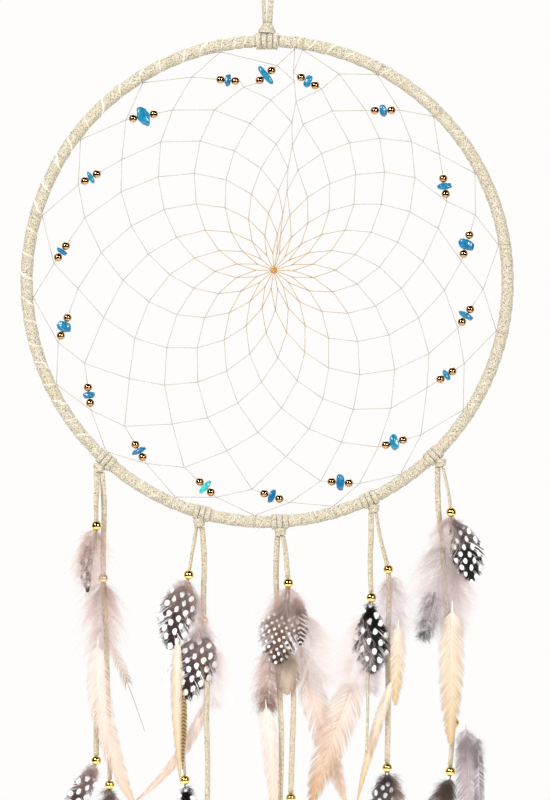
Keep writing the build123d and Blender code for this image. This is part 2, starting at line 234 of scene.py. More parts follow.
@dataclass(frozen=True)
class ThreadFinish:
    """Waxed nylon thread, pale at the hoop and golden where it gathers at the centre."""

    outer: str = "#A39B8E"
    inner: str = "#A87A2C"

    def build(self, name: str, centre: tuple[float, float, float]) -> bpy.types.Material:
        """Build the material round the web's centre knot, in metres."""
        material, tree, output = new_material(name)
        place = add_node(tree, "ShaderNodeTexCoord").outputs["Object"]
        away = add_node(tree, "ShaderNodeVectorMath", {0: place, 1: centre}, operation="DISTANCE")
        span = add_node(tree, "ShaderNodeMapRange", {"Value": away.outputs["Value"], "From Min": 2 * MM,
                                                     "From Max": 48 * MM})
        shade = mix_colour(tree, span.outputs["Result"], srgb(self.inner), srgb(self.outer))
        surface = add_node(tree, "ShaderNodeBsdfPrincipled",
                           {"Base Color": shade, "Roughness": 0.45, "Sheen Weight": 0.2})
        tree.links.new(surface.outputs["BSDF"], output.inputs["Surface"])
        return material


class Marking(Enum):
    """Pattern that a feather's vane carries."""

    PLAIN = "plain"
    DOTS = "dots"
    BARS = "bars"


@dataclass(frozen=True)
class FeatherFinish:
    """Keratin barbs, satin and slightly translucent, coloured from quill end to tip."""

    root: str
    middle: str
    tip: str
    streak: str
    streak_share: float = 0.5
    marking: Marking = Marking.PLAIN
    mark: str = "#FFFFFF"
    mark_pitch: float = 4.2     # distance between dots or bars, mm
    mark_size: float = 0.3      # dot radius or bar width, as a share of the pitch
    mark_from: float = 0.2      # share of the feather's length where the pattern starts
    mark_long: float = 1.0      # dot length along the feather as a share of its width
    thinness: float = 0.35      # share of the light that passes through the barbs

    def build(self, name: str) -> bpy.types.Material:
        """Build the material."""
        material, tree, output = new_material(name)
        reach = add_node(tree, "ShaderNodeAttribute", attribute_name="reach").outputs["Fac"]
        tone = add_node(tree, "ShaderNodeAttribute", attribute_name="tone").outputs["Fac"]
        ground = ramp(tree, reach, [(0.05, srgb(self.root)), (0.5, srgb(self.middle)),
                                    (0.95, srgb(self.tip))])
        strength = add_node(tree, "ShaderNodeMath", {0: tone, 1: self.streak_share}, operation="MULTIPLY")
        colour = mix_colour(tree, strength.outputs[0], ground, srgb(self.streak))
        if self.marking is not Marking.PLAIN:
            colour = self.marked(tree, reach, colour)
        surface = add_node(tree, "ShaderNodeBsdfPrincipled", {
            "Base Color": colour, "Roughness": 0.62, "Specular IOR Level": 0.25,
            "Sheen Weight": 0.15 if self.marking is Marking.PLAIN else 0.0, "Sheen Roughness": 0.4})
        through = add_node(tree, "ShaderNodeBsdfTranslucent", {"Color": colour})
        both = add_node(tree, "ShaderNodeMixShader",
                        {0: self.thinness, 1: surface.outputs[0], 2: through.outputs[0]})
        tree.links.new(both.outputs[0], output.inputs["Surface"])
        return material

    def marked(self, tree: bpy.types.NodeTree, reach: bpy.types.NodeSocket,
               ground: bpy.types.NodeSocket) -> bpy.types.NodeSocket:
        """Lay the vane's dots or bars over its ground colour.

        Args:
            tree: the material's tree.
            reach: place along the feather, from 0 at its root.
            ground: colour between the marks.

        Returns:
            The marked colour's socket.
        """
        flat = add_node(tree, "ShaderNodeUVMap", uv_map="vane").outputs["UV"]
        uneven = add_node(tree, "ShaderNodeTexNoise", {"Vector": flat, "Scale": 0.45, "Detail": 1.0})
        centred = add_node(tree, "ShaderNodeVectorMath", {0: uneven.outputs["Color"], 1: (0.5, 0.5, 0.5)},
                           operation="SUBTRACT")
        scaled = add_node(tree, "ShaderNodeVectorMath", {0: centred.outputs[0], 3: self.mark_pitch * 0.35},
                          operation="SCALE")
        shifted = add_node(tree, "ShaderNodeVectorMath", {0: flat, 1: scaled.outputs[0]}, operation="ADD")
        vane = shifted.outputs[0]
        if self.marking is Marking.DOTS:
            cell = (1 / (self.mark_pitch * self.mark_long), 1.15 / self.mark_pitch, 1.0)
            grid = add_node(tree, "ShaderNodeMapping",
                            {"Vector": vane, "Scale": cell, "Rotation": (0, 0, math.radians(38))})
            cells = add_node(tree, "ShaderNodeTexVoronoi",
                             {"Vector": grid.outputs["Vector"], "Scale": 1.0, "Randomness": 0.22},
                             voronoi_dimensions="2D")
            soft = add_node(tree, "ShaderNodeMapRange", {
                "Value": cells.outputs["Distance"], "From Min": self.mark_size + 0.03,
                "From Max": self.mark_size - 0.03})
            share = soft.outputs["Result"]
        else:
            split = add_node(tree, "ShaderNodeSeparateXYZ", {"Vector": vane})
            across = add_node(tree, "ShaderNodeMath", {0: split.outputs["Y"]}, operation="ABSOLUTE")
            slanted = add_node(tree, "ShaderNodeMath", {0: across.outputs[0], 1: -0.7, 2: split.outputs["X"]},
                               operation="MULTIPLY_ADD")
            wave = add_node(tree, "ShaderNodeMath", {0: slanted.outputs[0], 1: FULL_TURN / self.mark_pitch},
                            operation="MULTIPLY")
            sine = add_node(tree, "ShaderNodeMath", {0: wave.outputs[0]}, operation="SINE")
            soft = add_node(tree, "ShaderNodeMapRange", {
                "Value": sine.outputs[0], "From Min": 1 - 3 * self.mark_size,
                "From Max": 1.4 - 3 * self.mark_size})
            share = soft.outputs["Result"]
        begun = add_node(tree, "ShaderNodeMapRange", {
            "Value": reach, "From Min": self.mark_from, "From Max": self.mark_from + 0.05})
        both = add_node(tree, "ShaderNodeMath", {0: share, 1: begun.outputs["Result"]}, operation="MULTIPLY")
        return mix_colour(tree, both.outputs[0], ground, srgb(self.mark))


# ------------------------------------------------------------------ meshes
def taken(mesh: bmesh.types.BMesh) -> tuple[np.ndarray, tuple]:
    """Take the geometry out of a bmesh and free it.

    Args:
        mesh: bmesh that isn't needed afterwards.

    Returns:
        Vertex places, and the vertex numbers of each face.
    """
    mesh.verts.index_update()
    places = np.array([v.co[:] for v in mesh.verts])
    faces = tuple(tuple(v.index for v in f.verts) for f in mesh.faces)
    mesh.free()
    return places, faces


@lru_cache(maxsize=None)
def prism(sides: int, rings: int) -> tuple[np.ndarray, tuple]:
    """Closed straight prism of unit radius along z from 0 to 1, cut into rings.

    Args:
        sides: corners of its section.
        rings: sections along it, both ends included.

    Returns:
        Its vertex places and its faces.
    """
    mesh = bmesh.new()
    bmesh.ops.create_cone(mesh, cap_ends=True, segments=sides, radius1=1, radius2=1, depth=1)
    for ring in range(1, rings - 1):
        bmesh.ops.bisect_plane(mesh, geom=mesh.verts[:] + mesh.edges[:] + mesh.faces[:],
                               plane_co=(0, 0, ring / (rings - 1) - 0.5), plane_no=(0, 0, 1))
    places, faces = taken(mesh)
    return places + (0, 0, 0.5), faces


def mesh_object(name: str, places: np.ndarray, faces: list | tuple, material: bpy.types.Material,
                smooth: bool = True) -> bpy.types.Object:
    """Make an object from vertex places in metres and their faces."""
    data = bpy.data.meshes.new(name)
    data.from_pydata(places.tolist(), [], faces)
    if smooth:
        data.polygons.foreach_set("use_smooth", [True] * len(data.polygons))
    data.materials.append(material)
    data.update()
    thing = bpy.data.objects.new(name, data)
    bpy.context.scene.collection.objects.link(thing)
    return thing


def point_values(thing: bpy.types.Object, name: str, values: np.ndarray) -> None:
    """Give each vertex of a piece a value that its material reads.

    Args:
        thing: finished mesh object.
        name: the attribute's name, as in the material's attribute node.
        values: one number for each vertex.
    """
    layer = thing.data.attributes.new(name, "FLOAT", "POINT")
    layer.data.foreach_set("value", values.ravel().astype(np.float32))


def settle(thing: bpy.types.Object, body: str, slot: str, *nodes: str) -> bpy.types.Object:
    """Let a finished piece ride on its body and stand for CAD nodes."""
    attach(thing, body)
    if nodes:
        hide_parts(*nodes)
    log.info("%s: %d faces", thing.name, len(thing.data.polygons) if thing.type == "MESH" else 0)
    return thing


def smooth_line(points: list) -> np.ndarray:
    """Read a smooth line from the NURBS spline that has these points as its control points.

    Args:
        points: control points, in metres.

    Returns:
        Points along the spline, in metres.
    """
    curve = bpy.data.curves.new("route", "CURVE")
    curve.dimensions = "3D"
    curve.resolution_u = 10
    spline = curve.splines.new("NURBS")
    spline.points.add(len(points) - 1)
    for control, point in zip(spline.points, points):
        control.co = (*point, 1.0)
    spline.order_u = 3
    spline.use_endpoint_u = True
    carrier = bpy.data.objects.new("route", curve)
    bpy.context.scene.collection.objects.link(carrier)
    bpy.context.view_layer.update()
    line = bpy.data.meshes.new_from_object(carrier.evaluated_get(bpy.context.evaluated_depsgraph_get()))
    places = np.array([v.co[:] for v in line.vertices])
    bpy.data.objects.remove(carrier)
    bpy.data.curves.remove(curve)
    bpy.data.meshes.remove(line)
    return places


def ribbon(line: np.ndarray, width: float, thick: float, turns: tuple[float, float],
           taper: float = 1.0) -> tuple[np.ndarray, list]:
    """Sweep a flat lace with rounded edges along a line.

    Args:
        line: points that it follows.
        width: across the flat.
        thick: through the flat.
        turns: angle of the flat at the two ends, in degrees, where 0 faces the front.
        taper: width at the far end as a share of the width.

    Returns:
        Vertex places and faces.
    """
    template, faces = prism(12, len(line))
    ring = np.rint(template[:, 2] * (len(line) - 1)).astype(int)
    tangent = np.gradient(line, axis=0)
    tangent /= np.linalg.norm(tangent, axis=1)[:, None]
    depth = np.array((0.0, FRONT, 0.0)) - tangent * (tangent @ (0.0, FRONT, 0.0))[:, None]
    depth /= np.linalg.norm(depth, axis=1)[:, None]
    side = np.cross(tangent, depth)
    along = np.linspace(0, 1, len(line))
    angle = np.radians(turns[0] + (turns[1] - turns[0]) * along)[:, None]
    flat = side * np.cos(angle) + depth * np.sin(angle)
    normal = depth * np.cos(angle) - side * np.sin(angle)
    x, y = template[:, 0], template[:, 1]
    squared = np.maximum(np.abs(x), np.abs(y)) / np.hypot(x, y)
    x, y = x / (0.35 + 0.65 * squared), y / (0.35 + 0.65 * squared)
    x, y = x / np.abs(x).max(), y / np.abs(y).max()
    size = (1 + (taper - 1) * along)[ring]
    places = line[ring] + flat[ring] * (x * width / 2 * size)[:, None]
    places += normal[ring] * (y * thick / 2)[:, None]
    return places, list(faces)


def joined(pieces: list) -> tuple[np.ndarray, list]:
    """Join (places, faces) pairs into one pair."""
    places, faces, base = [], [], 0
    for part_places, part_faces in pieces:
        places.append(part_places)
        faces += [tuple(i + base for i in face) for face in part_faces]
        base += len(part_places)
    return np.concatenate(places), faces


# ------------------------------------------------------------------ strands of a feather
@dataclass
class Strands:
    """Tapered closed strands in a feather's own plane: u along its quill, v across, w towards the front."""

    roots: list = field(default_factory=list)
    bends: list = field(default_factory=list)
    tips: list = field(default_factory=list)
    widths: list = field(default_factory=list)
    thicks: list = field(default_factory=list)
    tones: list = field(default_factory=list)

    def grow(self, roots: np.ndarray, bends: np.ndarray, tips: np.ndarray, width: float, thick: float,
             tones: np.ndarray) -> None:
        """Add strands given by their root, bend and tip points."""
        count = len(roots)
        self.roots.append(roots)
        self.bends.append(bends)
        self.tips.append(tips)
        self.widths.append(np.broadcast_to(width, count))
        self.thicks.append(np.broadcast_to(thick, count))
        self.tones.append(np.broadcast_to(tones, count))

    def solid(self, sides: int, rings: int) -> tuple[np.ndarray, np.ndarray, np.ndarray]:
        """Give every strand its surface.

        Args:
            sides: corners of a strand's section.
            rings: sections along a strand.

        Returns:
            Vertex places, faces as rows of vertex numbers of mixed length, and each vertex's tone.
        """
        p0, p1, p2 = (np.concatenate(x)[:, None, :] for x in (self.roots, self.bends, self.tips))
        width, thick, tone = (np.concatenate(x)[:, None] for x in (self.widths, self.thicks, self.tones))
        template, faces = prism(sides, rings)
        t = template[:, 2][None, :, None]
        centre = p0 * (1 - t) ** 2 + p1 * (2 * t * (1 - t)) + p2 * t ** 2
        tangent = (p1 - p0) * (1 - t) + (p2 - p1) * t
        tangent /= np.linalg.norm(tangent, axis=2, keepdims=True) + 1e-9
        side = np.cross(np.array((0.0, 0.05, 1.0)), tangent)
        side /= np.linalg.norm(side, axis=2, keepdims=True) + 1e-9
        normal = np.cross(tangent, side)
        taper = (1 - 0.82 * template[:, 2] ** 1.6)[None, :]
        places = centre + side * (template[:, 0] * width / 2 * taper)[:, :, None] \
            + normal * (template[:, 1] * thick / 2 * taper)[:, :, None]
        count, size = places.shape[0], places.shape[1]
        offsets = (np.arange(count) * size)
        rows = [tuple(i + base for i in face) for base in offsets.tolist() for face in faces]
        return places.reshape(-1, 3), rows, np.repeat(tone.ravel(), size)


class Growth(Enum):
    """How a feather's barbs grow."""

    VANE = "vane"        # rounded body feather with down at its root
    HACKLE = "hackle"    # long, narrow and pointed
    PLUME = "plume"      # long with loose soft barbs
    STRIPPED = "stripped"  # barbs on the upper part of a bare quill
    DOWN = "down"        # tuft of down


@dataclass(frozen=True)
class BarbStyle:
    """How the barbs of one growth stand on their quill."""

    pitch: float                # between barbs on one side, mm
    root_angle: float           # away from the quill, degrees
    tip_angle: float
    width: float                # of one barb, mm
    roundness: float            # exponent of the vane's outline, where less is blunter
    fullest: float              # share of the length where the vane is widest
    unruly: float = 1.6         # spread of the barbs' angles, degrees
    last: float = 0.985         # share of the length where the last barb grows


BARB_STYLES = {
    Growth.VANE: BarbStyle(0.22, 50, 34, 0.42, 0.62, 0.48, unruly=2.6),
    Growth.HACKLE: BarbStyle(0.24, 30, 16, 0.34, 0.95, 0.33),
    Growth.PLUME: BarbStyle(0.24, 44, 22, 0.36, 0.6, 0.36, unruly=2.4),
    Growth.STRIPPED: BarbStyle(0.5, 34, 20, 0.26, 0.9, 0.25, last=0.42),
}
BARB_THICK = 0.13
OUTLINE_STEPS = 12              # rounds that settle each barb's end on the outline
DOWN_BARBS = 14                 # of a tuft, for each root of its length and width in mm
BARBULES = 12                   # on each barb of down
STRAY_SHARE = 0.12              # barbs of down that stick out of their tuft


@dataclass
class Feather:
    """One feather or tuft, laid out from its pendant's lashing knot, in millimetres."""

    name: str
    root: tuple[float, float, float]
    tip: tuple[float, float, float]
    width: float
    growth: Growth
    finish: str
    node: str
    bow: float = 0.0            # sideways bulge of the quill at its middle
    depth: float = 0.6          # depth of a tuft as a share of its width
    density: float = 1.0
    fullest: float = 0.0        # share of the length where the vane is widest, or 0 for its growth's own
    fluff: float = 0.85         # width of the down at a vane's root as a share of its width

    def outline(self, share: np.ndarray) -> np.ndarray:
        """Half width of the vane at shares of its length."""
        style = BARB_STYLES[self.growth]
        skew = math.log(0.5) / math.log(self.fullest or style.fullest)
        return self.width / 2 * np.sin(math.pi * np.clip(share, 0.005, 0.9999) ** skew) ** style.roundness

    def barbs(self, rng: np.random.Generator, strands: Strands, start: float, length: float) -> None:
        """Grow the flat vane's barbs on both sides of the quill from start to its tip."""
        style = BARB_STYLES[self.growth]
        pitch = style.pitch / self.density
        stations = np.arange(start, length * style.last, pitch)
        for side in (-1, 1):
            u = stations + rng.uniform(-0.3, 0.3, len(stations)) * pitch
            share = np.clip(u / length, 0, 1)
            clump = np.sin(u * 0.9 + side) * 2.0 + np.sin(u * 2.3 + 2 * side) * 1.5
            spread = rng.normal(0, style.unruly, len(u)) + clump * style.unruly / 1.6
            angle = np.radians(style.root_angle + (style.tip_angle - style.root_angle) * share + spread)
            reach = np.full(len(u), 1.0)
            for _ in range(OUTLINE_STEPS):
                half = self.outline((u + reach * np.cos(angle)) / length)
                reach = 0.5 * reach + 0.5 * np.maximum(half / np.sin(angle), 0.6)
            reach = reach * rng.uniform(0.88, 1.1, len(u))
            half = reach * np.sin(angle)
            if self.growth in (Growth.PLUME, Growth.HACKLE):
                ragged = rng.random(len(u)) < 0.1
                reach = reach * np.where(ragged, rng.uniform(0.6, 0.9, len(u)), 1.0)
            direction = np.stack([np.cos(angle), side * np.sin(angle)], 1)
            early = np.stack([np.cos(angle + 0.16), side * np.sin(angle + 0.16)], 1)
            lift = rng.normal(0, 0.10, len(u))
            roots = np.stack([u, np.full(len(u), side * 0.1), np.zeros(len(u))], 1)
            bends = np.column_stack([roots[:, :2] + early * (reach * 0.5)[:, None], 0.18 * half + lift])
            ends = np.column_stack([roots[:, :2] + direction * reach[:, None], -0.10 * half + lift * 2])
            strands.grow(roots, bends, ends, style.width, BARB_THICK, rng.random(len(u)) ** 2)

    def down(self, rng: np.random.Generator, strands: Strands, barbules: Strands, length: float,
             width: float, upto: float) -> None:
        """Grow soft down round the quill up to a share of its length, with barbules on each barb."""
        count = int(DOWN_BARBS * self.density * (length * upto) ** 0.5 * width ** 0.5)
        u = rng.random(count) ** 1.15 * length * upto
        spin = rng.uniform(0, FULL_TURN, count)
        across, through = np.cos(spin), np.sin(spin) * self.depth
        share = u / max(length, 1e-6)
        full = 0.75 + 0.5 * np.sin(math.pi * np.clip(share + 0.15, 0, 1))
        reach = width / 2 * full * rng.uniform(0.6, 1.15, count)
        forward = rng.uniform(0.5, 1.5, count) * reach * (1.05 - 0.35 * share)
        roots = np.stack([u, np.zeros(count), np.zeros(count)], 1)
        bends = np.stack([u + forward * 0.25, across * reach * 0.72, through * reach * 0.72], 1)
        ends = np.stack([np.minimum(u + forward, length * 1.04 + rng.uniform(-2, 1, count)),
                         across * reach * rng.uniform(0.8, 1.15, count),
                         through * reach * rng.uniform(0.8, 1.15, count)], 1)
        tones = rng.random(count)
        stray = rng.random(count)[:, None] < STRAY_SHARE
        loose = bends + (ends - bends) * 1.6 + rng.normal(0, 0.8, ends.shape) * (1, 1, 0.3)
        ends = np.where(stray, loose, ends)
        strands.grow(roots, bends, ends, 0.11, 0.09, tones)
        t = np.tile(np.linspace(0.15, 0.97, BARBULES), count)[:, None]
        p0, p1, p2 = (np.repeat(x, BARBULES, axis=0) for x in (roots, bends, ends))
        base = p0 * (1 - t) ** 2 + p1 * 2 * t * (1 - t) + p2 * t ** 2
        tangent = (p1 - p0) * (1 - t) + (p2 - p1) * t
        tangent /= np.linalg.norm(tangent, axis=1)[:, None] + 1e-9
        away = rng.normal(0, 1, base.shape)
        away[:, 2] *= self.depth
        away -= tangent * np.sum(away * tangent, axis=1)[:, None]
        away /= np.linalg.norm(away, axis=1)[:, None] + 1e-9
        size = (rng.uniform(1.2, 3.2, len(base)) * (1.1 - 0.5 * t[:, 0]))[:, None]
        middle = base + tangent * size * 0.5 + away * size * 0.35
        end = base + tangent * size * 0.9 + away * size * 0.85
        barbules.grow(base, middle, end, 0.075, 0.06, np.repeat(tones, BARBULES))

    def spine(self, pivot: Vector, length: float) -> Callable[[np.ndarray], np.ndarray]:
        """Give the map from the feather's own plane to the object's frame, in metres."""
        root, tip = np.array(self.root), np.array(self.tip)
        along = (tip - root) / length
        sideways = np.array((along[2], 0.0, -along[0]))
        sideways /= np.linalg.norm(sideways)
        middle = (root + tip) / 2 + sideways * self.bow * 2

        def lay(places: np.ndarray) -> np.ndarray:
            """Lay places given as (u, v, w) along the bowed quill."""
            share = places[:, 0] / length
            inside = np.clip(share, 0, 1)[:, None]
            line = root * (1 - inside) ** 2 + middle * 2 * inside * (1 - inside) + tip * inside ** 2
            tangent = (middle - root) * (1 - inside) + (tip - middle) * inside
            tangent /= np.linalg.norm(tangent, axis=1)[:, None]
            line = line + tangent * ((share - inside[:, 0]) * length)[:, None]
            across = np.stack([tangent[:, 2], np.zeros(len(tangent)), -tangent[:, 0]], 1)
            across /= np.linalg.norm(across, axis=1)[:, None]
            laid = line + across * places[:, 1:2] + np.array((0.0, FRONT, 0.0)) * places[:, 2:3]
            return laid * MM + np.array(pivot)
        return lay

    def build(self, pivot: Vector, materials: dict[str, bpy.types.Material], seed: int) -> bpy.types.Object:
        """Build the feather as one mesh.

        Args:
            pivot: the pendant's lashing knot, in metres.
            materials: finishes by name.
            seed: start of the feather's random draws.

        Returns:
            The feather's object.
        """
        rng = np.random.default_rng(seed)
        length = float(np.linalg.norm(np.array(self.tip) - np.array(self.root)))
        quill, barbs, barbules = Strands(), Strands(), Strands()
        end = length * (0.8 if self.growth is Growth.DOWN else 0.97)
        thick = 0.55 if self.growth is not Growth.DOWN else 0.4
        quill.grow(np.array([[-2.2, 0, 0]]), np.array([[length * 0.45, 0, 0.05]]), np.array([[end, 0, 0]]),
                   thick, thick * 0.9, np.zeros(1))
        if self.growth is Growth.DOWN:
            self.down(rng, barbs, barbules, length, self.width, 0.9)
        elif self.growth is Growth.VANE:
            self.barbs(rng, barbs, length * 0.08, length)
            self.down(rng, barbs, barbules, length, self.width * self.fluff, 0.3)
        else:
            self.barbs(rng, barbs, length * 0.04, length)
        parts = [quill.solid(8, 14), barbs.solid(3, 4)]
        if barbules.roots:
            parts.append(barbules.solid(3, 3))
        places, faces = joined([(p, f) for p, f, _ in parts])
        tones = np.concatenate([tone for _, _, tone in parts])
        laid = self.spine(pivot, length)(places)
        thing = mesh_object(self.name, laid, faces, materials[self.finish])
        point_values(thing, "reach", np.clip(places[:, 0] / length, 0, 1))
        point_values(thing, "tone", tones)
        data = thing.data
        corner = np.zeros(len(data.loops), np.int32)
        data.loops.foreach_get("vertex_index", corner)
        data.uv_layers.new(name="vane").data.foreach_set("uv", places[corner, :2].astype(np.float32).ravel())
        return thing


FINISHES = {
    "pink_down": FeatherFinish("#EADAD5", "#FAF0EE", "#FEFAFA", "#D2BEBA"),
    "rosy_down": FeatherFinish("#DEC6BC", "#F9E8E2", "#FDF3F0", "#B89788"),
    "mauve_down": FeatherFinish("#DEC7C0", "#F8E9E5", "#FDF5F3", "#B0938C"),
    "mauve_pale": FeatherFinish("#DECDC6", "#FAEDEE", "#FDF7F8", "#BAABB0"),
    "pale_down": FeatherFinish("#F8EEEC", "#FBF4F3", "#FEFAF9", "#ECDAD7"),
    "brown_down": FeatherFinish("#F3DAD2", "#EBC8BC", "#A9785C", "#8A6048", 0.45),
    "brown_vane": FeatherFinish("#5A4238", "#7C655C", "#B09A94", "#3F2E28"),
    "mauve_vane": FeatherFinish("#D5C6C8", "#C9BBBE", "#D9CCD0", "#9A8A90"),
    "rosy_vane": FeatherFinish("#7F645A", "#C2A69C", "#DFCBC4", "#6B5046"),
    "peach": FeatherFinish("#F8EDE7", "#F5E4D9", "#F0D9C6", "#D2B79C", 0.3),
    "peach_dark": FeatherFinish("#F7EBE4", "#F3DFCF", "#DDB88F", "#9A7450", 0.45),
    "cream": FeatherFinish("#F5EBDF", "#F1E0CB", "#E6CEA6", "#BB9F72", 0.4),
    "bare": FeatherFinish("#F6E6DB", "#B9A18A", "#5C4C3E", "#6A5848", 0.4),
    "speckled": FeatherFinish("#F5ECEE", "#D8CDD2", "#857C82", "#1C181A", 0.85),
    "beige": FeatherFinish("#C9BBAD", "#BFAC9C", "#B5A08C", "#A08B77", 0.25, thinness=0.15),
    "guinea": FeatherFinish("#141011", "#090607", "#060405", "#030303", 0.4, Marking.DOTS,
                            mark_pitch=4.7, mark_size=0.25, mark_from=0.02, mark_long=1.3, thinness=0.0),
    "guinea_fine": FeatherFinish("#9A8787", "#171314", "#0D0B0C", "#050505", 0.4, Marking.DOTS,
                                 mark_pitch=3.5, mark_size=0.29, mark_from=0.16, mark_long=1.35,
                                 thinness=0.0),
    "guinea_brown": FeatherFinish("#C6ACA6", "#4A3434", "#241A1B", "#120E0E", 0.4, Marking.DOTS,
                                  mark_pitch=4.1, mark_size=0.31, mark_from=0.16, mark_long=1.2,
                                  thinness=0.04),
    "guinea_grey": FeatherFinish("#57494B", "#8E8288", "#5A5054", "#1A1617", 0.7, Marking.DOTS,
                                 mark_pitch=3.6, mark_size=0.3, mark_from=0.1, mark_long=1.2, thinness=0.15),
    "partridge": FeatherFinish("#E9D0C7", "#8A6B60", "#3E2B26", "#2A1C19", 0.6, Marking.DOTS,
                               mark="#FFF8F2", mark_pitch=3.0, mark_size=0.26, mark_from=0.22, thinness=0.2),
    "barred": FeatherFinish("#F0D9D1", "#A38378", "#3A2A2C", "#1A1416", 0.5, Marking.BARS,
                            mark="#EFE6E6", mark_pitch=2.3, mark_size=0.27, mark_from=0.35),
    "golden_barred": FeatherFinish("#E2CE9C", "#D8BF86", "#D4C09A", "#A98C50", 0.5, Marking.BARS,
                                   mark="#7A5E34", mark_pitch=1.7, mark_size=0.26, mark_from=0.0),
}

